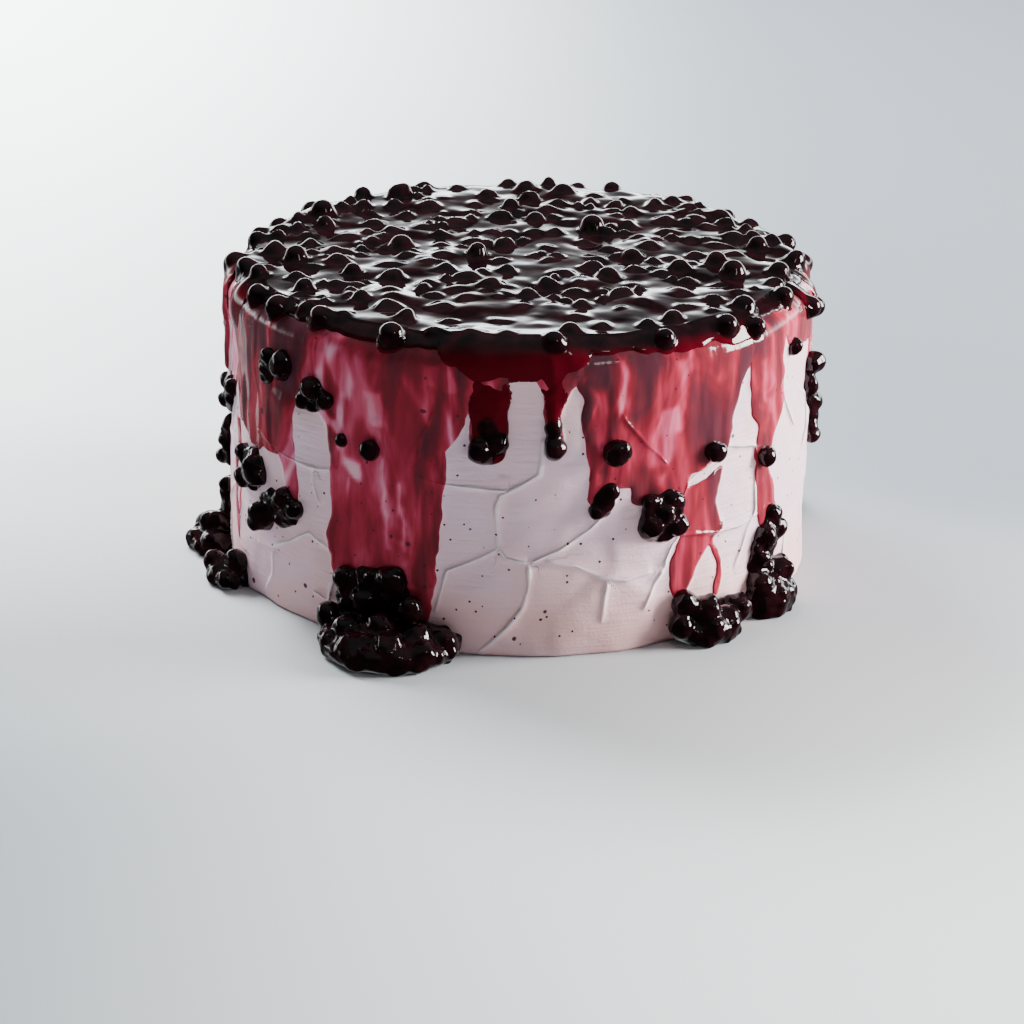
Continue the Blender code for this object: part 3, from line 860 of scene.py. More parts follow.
@dataclass
class SauceCoat:
    """The thin red sauce that ran down the side, as flows between a left and a right edge."""

    front: Sequence[Flow] = (
        Flow(2.2, 2.4, ((112, -97, -82), (95, -95, -82.5), (80, -92, -85), (66, -90, -87))),
        Flow(0.45, 0.3, ((112, -84, -72), (95, -84, -72), (78, -83, -73), (66, -81, -75))),
        Flow(4.2, 0.9, ((112, -75, -58), (95, -72.5, -59), (83, -71.5, -60), (70, -69.5, -57.5),
                        (60, -68, -56.5), (53, -64, -58))),
        Flow(2.3, 0.7, ((112, -57, -50), (100, -56.5, -51), (88, -56, -53), (74, -56, -53.3),
                        (58, -55.6, -54))),
        Flow(1.2, 0.3, ((90, -53, -44), (78, -53, -47), (64, -53, -47), (57, -52, -46.5), (48, -50, -45.5),
                        (38, -48.5, -46.5))),
        Flow(2.9, 0.6, ((112, -77, -42), (95, -76, -43), (88, -75, -45), (80, -74, -46), (70, -72, -47),
                        (60, -70, -49), (56, -67, -50))),
        Flow(1.3, 0.3, ((60, -72.5, -70.5), (46, -73, -71), (30, -72.5, -70.5), (14, -71.5, -69.5))),
        Flow(1.2, 0.3, ((42, -69, -67.8), (30, -70, -68.5), (18, -70.5, -69))),
        Flow(
            1.45, 0.6,
            ((112, -60, -3), (95, -55, -7), (85, -52, -9), (80, -47.5, -10.5), (77.5, -41, -12),
             (75, -38.8, -13.5), (68, -38, -13),
             (58, -38, -13), (51, -37.5, -14), (43, -37, -14.6), (32, -38, -15), (26, -37.3, -15.3),
             (15, -36, -16), (0, -35, -17)),
        ),
        Flow(2.0, 0.9, ((112, -27, -21), (95, -26, -21.5), (86, -25.5, -22.5), (74, -24.5, -23))),
        Flow(2.2, 0.6, ((92, -17, -9), (80, -16.5, -10), (70, -19, -13.2), (58, -19, -13.2), (48, -19, -14),
                        (36, -19, -14.6), (22, -20, -15.5))),
        Flow(2.6, 0.8, ((79, -46, -39), (76.5, -41, -36), (72, -38.2, -34.5), (66, -37.6, -34.3),
                        (58, -37.3, -35.5))),
        Flow(2.3, 1.0, ((112, -15, 2), (100, -13, 1.6), (97, -12.2, 0.2), (93.5, -11, -1.8),
                        (89, -9.6, -3.2), (83, -9, -4), (76, -9, -4.2), (68, -8.4, -5))),
        Flow(2.2, 0.9, ((112, -2, 13), (100, 0.8, 12.6), (97, 2.4, 11.5), (93, 3.8, 9.6), (88, 4.6, 8.4),
                        (82, 5, 7.9), (74, 5, 8.4))),
        Flow(
            3.0, 0.7,
            ((112, 9, 52), (96, 10.7, 50.5), (88, 11.5, 47.5), (83, 11.5, 46), (77, 11.8, 44.7),
             (70, 12.2, 44.5), (65, 13, 43),
             (61.5, 13, 40.5), (59.5, 18.5, 36), (58, 19.5, 34.5)),
        ),
        Flow(2.3, 0.9, ((112, 33.5, 50), (96, 34, 50), (88, 35, 47), (80, 35.5, 45), (70, 37, 44.5),
                        (64, 37, 42.5), (60, 34, 39))),
        Flow(2.2, 0.8, ((72, 19.5, 22), (66, 18.5, 23), (60.5, 13.3, 34), (58, 14, 32))),
        Flow(2.8, 1.0, ((64, 13.2, 18.5), (56, 13.1, 18), (50, 14.3, 17.3))),
        Flow(3.0, 0.8, ((61, 21, 33.5), (50, 21.5, 33))),
        Flow(2.6, 0.5, ((58.5, 41, 42), (56, 37, 41.9), (53.5, 32.6, 41.6), (47, 32, 41), (38, 31.8, 42.5),
                        (35, 31, 41), (29, 30, 37.5), (24, 30, 35.5), (16, 30, 33))),
        Flow(2.4, 0.7, ((40, 31.8, 42.5), (37, 31.6, 43), (35.5, 31.8, 40))),
        Flow(1.6, 0.5, ((36, 38.5, 40), (25, 40.8, 42.3), (12, 40.2, 41.8))),
        Flow(1.9, 0.7, ((112, 46, 66), (101, 48.5, 62.5), (89, 49, 61.2), (80, 49.3, 61.5),
                        (73, 50.5, 62.6), (67, 52.4, 60.6), (60, 51.5, 58),
                        (52, 51.6, 57), (44, 52.2, 58.6), (36, 52.6, 60.2), (30, 53.5, 58))),
        Flow(1.5, 0.8, ((112, 60, 94), (104, 60.5, 92), (97, 61.5, 90), (91, 63.5, 87), (86, 67, 83))),
        Flow(1.4, 0.9, ((112, 75, 96), (104, 76, 93), (95, 78, 90), (84, 80, 87), (70, 82, 86))),
    )
    bare: Sequence[Flow] = (
        Flow(0.9, 0.0, ((63, -34.5, -30.5), (60, -34.6, -30), (55, -32, -30))),
        Flow(0.75, 0.0, ((66, -26.6, -25.4), (50, -25.9, -24.3), (34, -24.8, -23.4))),
        Flow(0.8, 0.0, ((58, -22.8, -21.4), (46, -22.2, -20.6), (34, -21.6, -20.4))),
        Flow(0.55, 0.0, ((88, -30, -26), (76, -28.5, -24.5))),
        Flow(0.6, 0.0, ((101, -39, -34), (90, -37.5, -31.5), (82, -35, -32))),
        Flow(0.5, 0.0, ((100, -18, -14.5), (88, -18, -15), (78, -17.6, -15.6))),
        Flow(0.8, 0.0, ((98, 6, 7.6), (90, 6.0, 8.0), (85, 6.2, 7.4))),
        Flow(0.6, 0.0, ((92, 13.3, 17), (80, 13.3, 16.5), (70, 14, 17.5))),
        Flow(0.5, 0.0, ((84, 27.5, 31), (74, 24.5, 30), (63, 24, 30))),
        Flow(0.6, 0.0, ((100, 30.5, 33.5), (86, 30, 33), (74, 29.5, 32))),
        Flow(0.95, 0.0, ((63.5, 40, 43), (61, 36.5, 41.5), (58.5, 33.8, 38), (54, 32.6, 34.2))),
        Flow(0.55, 0.0, ((92, 52, 54.5), (80, 52.5, 55), (74, 54, 56))),
    )
    strength: float = 0.74
    top: float = 112.0
    corner: float = 4.0
    seed: int = 23
    back: Sequence[Flow] = field(init=False)

    def __post_init__(self) -> None:
        """Draws the flows of the half that faces away, by the front's sizes."""
        draw = np.random.RandomState(self.seed)
        flows = []
        angle = 97.0
        while angle < 264:
            half = draw.choice([2.0, 3.5, 6.5, 9.5])
            end = draw.uniform(18, 78)
            darkness = draw.uniform(1.6, 2.9)
            lean = draw.uniform(-2.5, 2.5)
            rows = []
            for share in (0.0, 0.25, 0.5, 0.75, 1.0):
                height = self.top + (end - self.top) * share
                narrow = half * (1.15 - 0.45 * share) * draw.uniform(0.85, 1.15)
                middle = angle + lean * share + draw.uniform(-0.6, 0.6)
                rows.append((height, middle - narrow, middle + narrow))
            flows.append(Flow(darkness, draw.uniform(0.4, 1.0), tuple(rows)))
            angle += half * draw.uniform(1.3, 2.4)
        self.back = flows

    def inside(self, flow: Flow, angle: np.ndarray, height: np.ndarray) -> np.ndarray:
        """How far each place is inside a flow's edge.

        Args:
            flow: The flow.
            angle: Angles in degrees.
            height: Heights in mm.

        Returns:
            Distances in mm, below 0 outside.
        """
        rows = np.array(sorted(flow.rows))
        middle = (rows[0, 1] + rows[0, 2]) / 2
        aside = (angle - middle + 180) % 360 - 180 + middle
        left = np.interp(height, rows[:, 0], rows[:, 1])
        right = np.interp(height, rows[:, 0], rows[:, 2])
        inside = np.minimum(aside - left, right - aside) * MM_PER_DEGREE
        half = np.minimum((right - left) * 0.5 * MM_PER_DEGREE, self.corner)
        bottom = height - rows[0, 0]
        chord = np.sqrt(np.maximum(half**2 - np.minimum(bottom - half, 0) ** 2, 0))
        rounding = np.clip(half - chord, 0, half)
        inside = np.where(bottom < half, inside - rounding, inside)
        under_rim = 2.0 if rows[-1, 0] > 105 else 0.0
        return np.minimum(np.minimum(inside, bottom), rows[-1, 0] - height + under_rim)

    def lay(self, angle: np.ndarray, height: np.ndarray) -> dict[str, np.ndarray]:
        """The sauce at places on the side.

        Args:
            angle: Angles in radians.
            height: Heights in metres.

        Returns:
            Its optical depth (sauce), wetness of 0 to 1 (wet), distance inside its edge in mm (film) and
            thickness in metres (thick).
        """
        radius = CakeForm.base_radius
        around = np.stack([np.sin(angle), np.cos(angle), height / radius], axis=1) * radius
        degrees = np.degrees(angle) + wave(around, 8 * MM, 1.0) * 0.45 + wave(around, 3 * MM, 4.0) * 0.16
        level = height / MM + wave(around, 9 * MM, 7.0) * 1.2
        depth, wet, thick = (np.zeros(len(angle)) for _ in range(3))
        film = np.full(len(angle), -4.0)
        for flow in [*self.front, *self.back]:
            inside = self.inside(flow, degrees, level)
            film = np.maximum(film, inside)
            depth = np.maximum(depth, flow.darkness * ramp(inside, -1.5, 0.9))
            wet = np.maximum(wet, ramp(inside, -1.5, 0.3))
            thick = np.maximum(thick, flow.thickness * MM * np.sqrt(ramp(inside, -0.6, 2.4)))
        for flow in self.bare:
            share = ramp(self.inside(flow, degrees, level), -0.9, 1.8) * flow.darkness
            depth = depth * (1 - share)
            wet = wet * (1 - share * 0.4)
            thick = thick * (1 - share * 0.7)
        depth = depth * self.strength * (1.0 + 0.4 * ramp(level, 70, 112))
        return {"sauce": depth, "wet": wet, "film": np.clip(film, -4, 4), "thick": thick}


@dataclass
class FrostedCake:
    """The uncut cake under its frosting, with the red sauce that runs down it."""

    form: CakeForm
    sauce: SauceCoat = field(default_factory=SauceCoat)
    turns: int = 820
    side_rows: int = 98
    rim_rows: int = 14
    foot_rows: int = 3
    merge: float = 0.00001

    def profile(self) -> list[tuple[float, float]]:
        """Outline of the cake.

        Returns:
            Pairs of radius and height, from the middle of the top to the middle of the base.
        """
        form = self.form
        points = [(0.0, form.height), (form.flat_radius * 0.6, form.height),
        (form.flat_radius * 0.95, form.height)]
        for step in range(self.rim_rows + 1):
            turn = math.pi / 2 * step / self.rim_rows
            radius = form.flat_radius + form.rim * math.sin(turn)
            points.append((radius, form.side_top + form.rim * math.cos(turn)))
        for step in range(1, self.side_rows + 1):
            height = form.side_top + (form.foot - form.side_top) * step / self.side_rows
            points.append((float(form.cone(np.array(height))), height))
        for step in range(1, self.foot_rows + 1):
            turn = math.pi / 2 * step / self.foot_rows
            radius = form.base_radius - form.foot * (1 - math.cos(turn))
            points.append((radius, form.foot * (1 - math.sin(turn))))
        points.append((form.base_radius * 0.9, 0.0))
        points.append((0.0, 0.0))
        return points

    def build(self) -> bpy.types.Object:
        """Turns the profile, then pushes facets, lips and sauce into its side.

        Returns:
            The frosting, with its sauce stored on its points.
        """
        outline = np.array(self.profile())
        shape = bmesh.new()
        bmesh.ops.create_grid(shape, x_segments=self.turns, y_segments=len(outline) - 1, size=1.0)
        piece = to_object(shape, "frosting")
        flat = read_points(piece.data)
        row = np.rint((1 - flat[:, 1]) / 2 * (len(outline) - 1)).astype(int)
        turn = np.pi * flat[:, 0]
        radius, height = outline[row].T
        write_points(piece.data, np.stack([radius * np.sin(turn), -radius * np.cos(turn), height], axis=1))
        mend(piece.data, self.merge)
        points = read_points(piece.data)
        plain = np.hypot(points[:, 0], points[:, 1])
        angle = np.arctan2(points[:, 0], -points[:, 1])
        height = points[:, 2].copy()
        form = self.form
        side = (plain > form.flat_radius) & (height > 0)
        fade = np.clip((form.side_top - height) / form.smooth_under_rim, 0.0, 1.0)
        sauce = self.sauce.lay(angle[side], height[side])
        gap, strength = form.knife.gaps(angle[side], height[side])
        strength = strength * fade[side]
        lips = form.knife.lips(gap, strength)
        wet = sauce["wet"]
        pushed = form.knife.relief(angle[side], height[side]) + lips * (1 - 0.45 * wet)
        ripple = wave(points[side], 6 * MM, 2.0) * 0.12 * MM
        curtain = wave(points[side] * (1, 1, 0.13), 4.2 * MM, 12.0) * 0.3 * MM
        curtain = curtain + wave(points[side], 11 * MM, 5.0) * 0.3 * MM
        ripple = ripple + curtain * wet
        sag = wave(points[side] * (1, 1, 0), 14 * MM, 6.0) * 0.7 * MM * ramp(height[side], 12 * MM, 0.0)
        grown = plain[side] + (pushed + ripple) * fade[side] + sag + sauce.pop("thick")
        points[side, 0] = grown * np.sin(angle[side])
        points[side, 1] = -grown * np.cos(angle[side])
        write_points(piece.data, points)
        sauce["gap"] = np.clip(gap / MM, -4, 4)
        sauce["lip"] = strength * (1 - 0.4 * wet)
        for name, values in sauce.items():
            spread = np.full(len(plain), -4.0 if name == "film" else 0.0)
            spread[side] = values
            write_values(piece.data, name, spread)
        return piece


class Solid(NamedTuple):
    """A ball or an ellipsoid of a distance field: its frame turned back to its own axes, and its radii."""

    centre: np.ndarray
    axes: np.ndarray
    radii: np.ndarray
    reach: float


@dataclass
class WetLump:
    """Berries and jam that melt into each other: one drip, cluster or heap."""

    name: str
    pieces: Sequence[Berry | Blob]
    form: CakeForm
    turn: float = 0.0
    rise: float = 0.0
    wine: float = 0.06
    uneven: float = 0.5 * MM
    voxel: float = 0.5 * MM
    berry_melt: float = 1.5 * MM
    jam_melt: float = 2.0 * MM
    small_melt: float = 0.8 * MM
    small_step: float = 6.0 * MM
    small_radius: tuple[float, float] = (1.9, 2.7)
    carrier: float = 5.0 * MM
    far: float = 4.0 * MM

    def solids(self) -> list[Solid]:
        """The balls and ellipsoids of the lump, in place.

        Returns:
            Its own pieces, and the small berries in them unless it is a drip.
        """
        made = []
        for piece in self.pieces:
            moved = piece._replace(angle=piece.angle + self.turn, height=piece.height + self.rise)
            place = self.form.side_place(moved.angle, moved.height, moved.out)
            turned = np.array(place.to_3x3())
            if isinstance(moved, Berry):
                radii = np.full(3, moved.radius * MM)
                reach = self.berry_melt
            else:
                radii = np.array([moved.half_width, moved.half_depth, moved.half_height]) * MM
                reach = self.jam_melt
            made.append(Solid(np.array(place.translation), turned, radii, reach))
        if not self.name.startswith("drip"):
            made.extend(small for solid in tuple(made) for small in self.small_berries(solid))
        return made

    def small_berries(self, solid: Solid) -> list[Solid]:
        """Small berries half sunk in one ball or ellipsoid, spread evenly over it.

        Args:
            solid: What they sit in.

        Returns:
            The small berries, none for a ball as small as they are.
        """
        if solid.radii.max() < self.carrier:
            return []
        draw = np.random.RandomState(len(self.name) * 31 + int(solid.radii.sum() / MM * 10))
        area = 4 * math.pi * np.mean(solid.radii * np.roll(solid.radii, 1))
        count = int(area / self.small_step**2)
        made = []
        for number in range(count):
            level = 1 - 2 * (number + 0.5) / count
            turn = number * GOLDEN_TURN + draw.uniform(-0.3, 0.3)
            flat = math.sqrt(1 - level * level)
            radius = draw.uniform(*self.small_radius) * MM
            outward = np.array((flat * math.cos(turn), flat * math.sin(turn), level))
            reach = solid.radii - radius * draw.uniform(0.45, 0.85)
            place = solid.centre + solid.axes @ (outward * np.maximum(reach, 0.3 * MM))
            made.append(Solid(place, np.eye(3), np.full(3, radius), self.small_melt))
        return made

    def distance(self, points: np.ndarray, solids: Sequence[Solid]) -> np.ndarray:
        """Distance from points to the melted shape.

        Args:
            points: Places, one a row.
            solids: What is melted together.

        Returns:
            Distances in metres, below 0 inside.
        """
        total = np.full(len(points), self.far)
        for solid in solids:
            local = points - solid.centre
            near = np.einsum("ij,ij->i", local, local) < (solid.radii.max() + self.far + MM) ** 2
            local = local[near] @ solid.axes
            outward = np.linalg.norm(local / solid.radii, axis=1)
            steep = np.linalg.norm(local / solid.radii**2, axis=1) + 1e-9
            total[near] = melt(total[near], outward * (outward - 1.0) / steep, solid.reach)
        return total

    def settle(self, points: np.ndarray, solids: Sequence[Solid]) -> np.ndarray:
        """Moves points onto the melted shape.

        Args:
            points: Places near it.
            solids: What is melted together.

        Returns:
            The moved places.
        """
        probe = 0.15 * MM
        corners = np.array([(1, -1, -1), (-1, -1, 1), (-1, 1, -1), (1, 1, 1)]) * probe
        for _ in range(3):
            away = self.distance(points, solids)
            slope = sum(corner * self.distance(points + corner, solids)[:, None] for corner in corners)
            slope = slope / (np.linalg.norm(slope, axis=1, keepdims=True) + 1e-12)
            points = points - slope * np.clip(away, -MM, MM)[:, None]
        uneven = wave(points, 6 * MM, 4.0) * self.uneven + wave(points, 2.6 * MM, 1.0) * self.uneven * 0.4
        return points + slope * uneven[:, None]

    def build(self) -> bpy.types.Object:
        """Melts the pieces into one wet skin, flat where it lies on the table.

        Returns:
            The finished piece.
        """
        solids = self.solids()
        shape = bmesh.new()
        for solid in solids:
            frame = Matrix.Translation(solid.centre) @ Matrix(solid.axes).to_4x4()
            size = Matrix.Diagonal((*solid.radii, 1.0))
            bmesh.ops.create_icosphere(shape, subdivisions=3, radius=1.0, matrix=frame @ size)
        piece = to_object(shape, self.name)
        remesh = piece.modifiers.new("skin", "REMESH")
        remesh.mode = "VOXEL"
        remesh.voxel_size = self.voxel
        bpy.context.view_layer.update()
        mesh = bpy.data.meshes.new_from_object(piece.evaluated_get(bpy.context.evaluated_depsgraph_get()))
        piece.modifiers.clear()
        piece.data = mesh
        write_points(mesh, self.settle(read_points(mesh), solids))
        shape = bmesh.new()
        shape.from_mesh(mesh)
        every_way = {"use_axis_x": True, "use_axis_y": True, "use_axis_z": True}
        bmesh.ops.smooth_vert(shape, verts=shape.verts, factor=0.5, **every_way)
        if min(vertex.co.z for vertex in shape.verts) < 0:
            everything = shape.verts[:] + shape.edges[:] + shape.faces[:]
            table = {"plane_co": (0, 0, 0.05 * MM), "plane_no": (0, 0, -1)}
            cut = bmesh.ops.bisect_plane(shape, geom=everything, clear_outer=True, **table)
            rim = [item for item in cut["geom_cut"] if isinstance(item, bmesh.types.BMEdge)]
            bmesh.ops.holes_fill(shape, edges=rim, sides=0)
        shape.to_mesh(mesh)
        shape.free()
        mesh.shade_smooth()
        places = read_points(mesh)
        balls = [solid for solid in solids if solid.radii.min() == solid.radii.max()]
        off_berry = ramp(self.distance(places, balls), 0.2 * MM, 1.6 * MM) if balls else np.ones(len(places))
        write_values(mesh, "thin", off_berry * self.wine)
        return piece


class Dome(NamedTuple):
    """A berry in the sheet: its place on the unrolled skin, radius, height, if it is bare, and a draw."""

    x: float
    y: float
    radius: float
    centre: float
    crisp: bool
    chance: float = 0.5

    def draped(self, flat_radius: float) -> tuple[float, float, float]:
        """Radius, height of the centre and fillet of the berry with the jam that hangs over it.

        Args:
            flat_radius: Radius at which the flat top ends.

        Returns:
            The three in metres.
        """
        on_rim = math.hypot(self.x, self.y) > flat_radius
        if self.crisp:
            return self.radius, self.centre - 0.3 * MM, 1.5 * MM
        if on_rim:
            return self.radius + 0.2 * MM, self.centre - 0.9 * MM, 2.2 * MM
        calm = math.exp(-((self.x / (38 * MM)) ** 2) - ((self.y + 70 * MM) / (22 * MM)) ** 2)
        far = 1.0 if math.hypot(self.x, self.y) > flat_radius - 11 * MM and self.y > 0 else 0.0
        draped = self.radius - (0.2 - 0.4 * self.chance) * MM
        sunk = (0.9 + 1.9 * self.chance + 1.5 * calm) * (1 - 0.8 * far)
        return draped, self.centre - sunk * MM, (1.2 + 1.9 * self.chance) * MM


@dataclass
class JamTopping:
    """The sheet of jam with berries on the top and over the rim, and the drips that hang from it."""

    form: CakeForm
    thickness: float = 3.2 * MM
    waves: float = 0.6 * MM
    back_rise: float = 1.8 * MM
    wave_length: float = 21.0 * MM
    edge_thickness: float = 1.0 * MM
    run_thickness: float = 2.2 * MM
    edge_beyond: float = 5.0 * MM
    edge_wander: float = 2.2 * MM
    smallest: float = 3.0 * MM
    largest: float = 4.7 * MM
    spacing: float = 3.7 * MM
    tries: int = 4000
    seed: int = 5
    back_step: float = 9.5
    small_berries: int = 105
    clear_places: Sequence[tuple[float, float]] = (
        (5, 43), (-59, 72), (34, 90), (55, -15), (39, -1), (-57, -23), (-72, 45), (94, 34), (-42, 10),
        (30, -25), (96, -12),
    )
    necks: dict[float, float] = field(default_factory=lambda: {-5.2: 0.92, 6.6: 0.3})
    cells: int = 256
    edge_rings: int = 5
    edge_step: float = 0.25
    inner_share: float = 0.68
    fall_steps: int = 22
    fall_from: float = 9.0 * MM
    berry_reach: float = 11.0 * MM
    drip_steps: int = 9
    runs: Sequence[Run] = (
        Run(-1, 14.5, 9), Run(-6.8, 6, 11), Run(6.2, 3.4, 12), Run(-5.2, 3.6, 33), Run(6.6, 2.5, 31),
        Run(33, 11, 3), Run(47, 8, 6), Run(-72, 5, 15), Run(113, 6, 12), Run(150, 6.5, 13), Run(192, 5.5, 12),
        Run(228, 6, 13),
        Run(-88, 6, 24), Run(98, 7, 13), Run(113, 4, 34), Run(139, 9, 9), Run(150, 4.4, 44), Run(176, 7, 12),
        Run(192, 3.6, 30), Run(211, 9, 9), Run(228, 4.2, 40), Run(251, 6, 14),
    )
    rim_berries: Sequence[tuple[float, float, float]] = (
        (43.5, 4, 3.9), (50.5, 7, 3.3), (53, -0.5, 4.4), (86, 16, 3.5), (35, -6, 3.9), (27.5, -3.5, 3.4),
        (28.5, 4, 3.4),
        (10.5, -4, 4.2), (6.5, 2.5, 4.2), (75.5, 11, 3.5), (-43, 2, 3.7), (-39, -1.5, 3.9), (-25, 3.5, 4.5),
        (-55, 4, 3.9), (-49, -1, 4.0), (-64, 4, 3.8), (-80, 1.5, 4.2), (66, 3, 3.6), (80, -3, 4.0),
    )
    drip_berries: Sequence[tuple[float, float, float]] = (
        (-6.6, 37.5, 4.2), (-3.4, 34.5, 3.2), (-5.4, 29.5, 2.8), (6.7, 36, 3.7), (6.4, 29.5, 2.6),
        (113, 42, 3.8), (110, 37, 3.0), (150, 52, 4.2), (153, 46, 3.1), (192, 38, 3.7), (228, 48, 4.1),
        (225, 42, 3.0),
    )

    def is_drip(self, run: Run) -> bool:
        """Whether a run is a narrow drip, built by itself."""
        return run.length > 25

    def berries(self) -> list[Dome]:
        """Every berry of the sheet, placed by the same rule as its solid.

        Returns:
            The berries.
        """
        draw = np.random.RandomState(self.seed)
        flat = self.form.flat_radius
        made: list[Dome] = []

        def unrolled(angle: float, arc: float) -> tuple[float, float]:
            """Place on the unrolled skin."""
            turned = math.radians(angle)
            return arc * math.sin(turned), -arc * math.cos(turned)

        for angle, beyond, radius in [*self.rim_berries, *self.drip_berries]:
            x, y = unrolled(angle, flat + beyond * MM)
            crisp = -30 < angle < 75
            made.append(Dome(x, y, radius * MM, self.run_thickness + 0.1 * radius * MM, crisp))
        angle = 92.0
        while angle < 275:
            x, y = unrolled(angle, flat + draw.uniform(0, 9) * MM)
            radius = draw.uniform(3.2, 4.4) * MM
            made.append(Dome(x, y, radius, self.run_thickness + 0.1 * radius, False))
            angle += self.back_step * draw.uniform(0.7, 1.3)
        for _ in range(self.tries):
            radius = draw.uniform(self.smallest, self.largest)
            arc = flat * math.sqrt(draw.uniform(0, 1))
            x, y = unrolled(draw.uniform(0, 360), arc)
            proud = draw.uniform(-0.3, 0.3)
            if min(math.hypot(x - dome.x, y - dome.y) - radius - dome.radius for dome in made) > self.spacing:
                centre = self.thickness + proud * radius
                made.append(Dome(x, y, radius, centre, proud > 0.27, (proud * 37.0) % 1.0))
        self.sprinkle(made)
        for x, y in self.clear_places:
            number = int(np.argmin([math.hypot(dome.x - x * MM, dome.y - y * MM) for dome in made]))
            made[number] = made[number]._replace(crisp=True, centre=made[number].centre + 0.6 * MM)
        first_drip = len(self.rim_berries)
        return made[:first_drip] + made[first_drip + len(self.drip_berries):]

    def sprinkle(self, made: list[Dome]) -> None:
        """Adds small berries that lie between the others, in loose groups.

        Args:
            made: The berries so far, which grow by the small ones.
        """
        draw = np.random.RandomState(self.seed + 1)
        flat = self.form.flat_radius - 3 * MM
        last = len(made) + self.small_berries
        while len(made) < last:
            angle = draw.uniform(0, 2 * math.pi)
            arc = flat * math.sqrt(draw.uniform(0, 1))
            x, y = arc * math.sin(angle), -arc * math.cos(angle)
            radius = draw.uniform(1.9, 2.9) * MM
            group = noise.noise(Vector((x, y, 0.004)) / (19 * MM))
            calm = y < -58 * MM and abs(x) < 50 * MM
            gap = min(math.hypot(x - dome.x, y - dome.y) - radius - dome.radius for dome in made)
            if group > draw.uniform(-0.25, 0.25) and gap > -0.9 * MM and not calm:
                made.append(Dome(x, y, radius, self.thickness + 0.2 * radius, False, draw.uniform(0.0, 0.45)))

    def edge(self, degrees: np.ndarray, berries: Sequence[Dome]) -> np.ndarray:
        """Arc at which the sheet ends.

        Args:
            degrees: Angles in degrees.
            berries: The sheet's berries, which push its edge out.

        Returns:
            Arcs in metres.
        """
        turned = np.radians(degrees)
        ring = np.stack([3 * np.sin(turned), 3 * np.cos(turned), np.full(len(turned), 0.5)], axis=1)
        wander = np.array([noise.noise(Vector(place)) for place in ring])
        fine = np.array([noise.noise(Vector(place) * 7) for place in ring])
        arcs = self.form.flat_radius + self.edge_beyond + self.edge_wander * (wander + 0.45 * fine)
        longest = np.zeros(len(arcs))
        for run in self.runs:
            if self.is_drip(run):
                continue
            aside = np.abs((degrees - run.angle + 180) % 360 - 180) / run.half_width
            tongue = run.length * MM * np.maximum(1 - aside**2.2, 0) ** 0.6
            longest = np.maximum(longest, tongue)
        arcs = arcs + longest
        for x, y, radius, *_ in berries:
            arc = math.hypot(x, y)
            if arc < self.form.flat_radius:
                continue
            aside = (degrees - math.degrees(math.atan2(x, -y)) + 180) % 360 - 180
            aside = np.radians(aside) * arc
            reach = radius + self.edge_thickness
            bulge = arc + np.sqrt(np.maximum(reach**2 - aside**2, 0))
            arcs = np.where(np.abs(aside) < reach, np.maximum(arcs, bulge), arcs)
        return arcs

    def build(self) -> bpy.types.Object:
        """Lays a fine grid over the cake and lets it fall onto berries and jam.

        Returns:
            The finished sheet, with how thin it is stored on its points.
        """
        berries = self.berries()
        shape = bmesh.new()
        bmesh.ops.create_grid(shape, x_segments=self.cells, y_segments=self.cells, size=1.0)
        lower = [edge for edge in shape.edges if edge.is_boundary]
        rings = []
        for _ in range(self.edge_rings):
            grown = bmesh.ops.extrude_edge_only(shape, edges=lower)["geom"]
            lower = [item for item in grown if isinstance(item, bmesh.types.BMEdge) and item.is_boundary]
            rings.append([item for item in grown if isinstance(item, bmesh.types.BMVert)])
        bmesh.ops.contextual_create(shape, geom=lower)
        under = np.zeros(len(shape.verts), dtype=int)
        shape.verts.index_update()
        for depth, ring in enumerate(rings, start=1):
            for vertex in ring:
                under[vertex.index] = depth
        piece = to_object(shape, "jam_sheet")
        square = read_points(piece.data)[:, :2]
        x, y, room = self.spread(square, berries, under)
        top = under == 0
        points, away = self.form.skin(x, y)
        lift = np.full(len(x), -0.35 * MM)
        lift[under == 1] = -0.1 * MM
        lift[top], bare = self.fall(x[top], y[top], room[top], points[top], away[top], berries)
        write_points(piece.data, points + away * lift[:, None])
        beyond = np.hypot(x, y) - self.form.flat_radius
        thin = ramp(beyond, 2 * MM, 9 * MM)
        thin[top] = thin[top] * ramp(bare, 0.2 * MM, 1.4 * MM)
        write_values(piece.data, "thin", thin)
        log.info("jam sheet: %d berries", len(berries))
        mend(piece.data)
        return piece

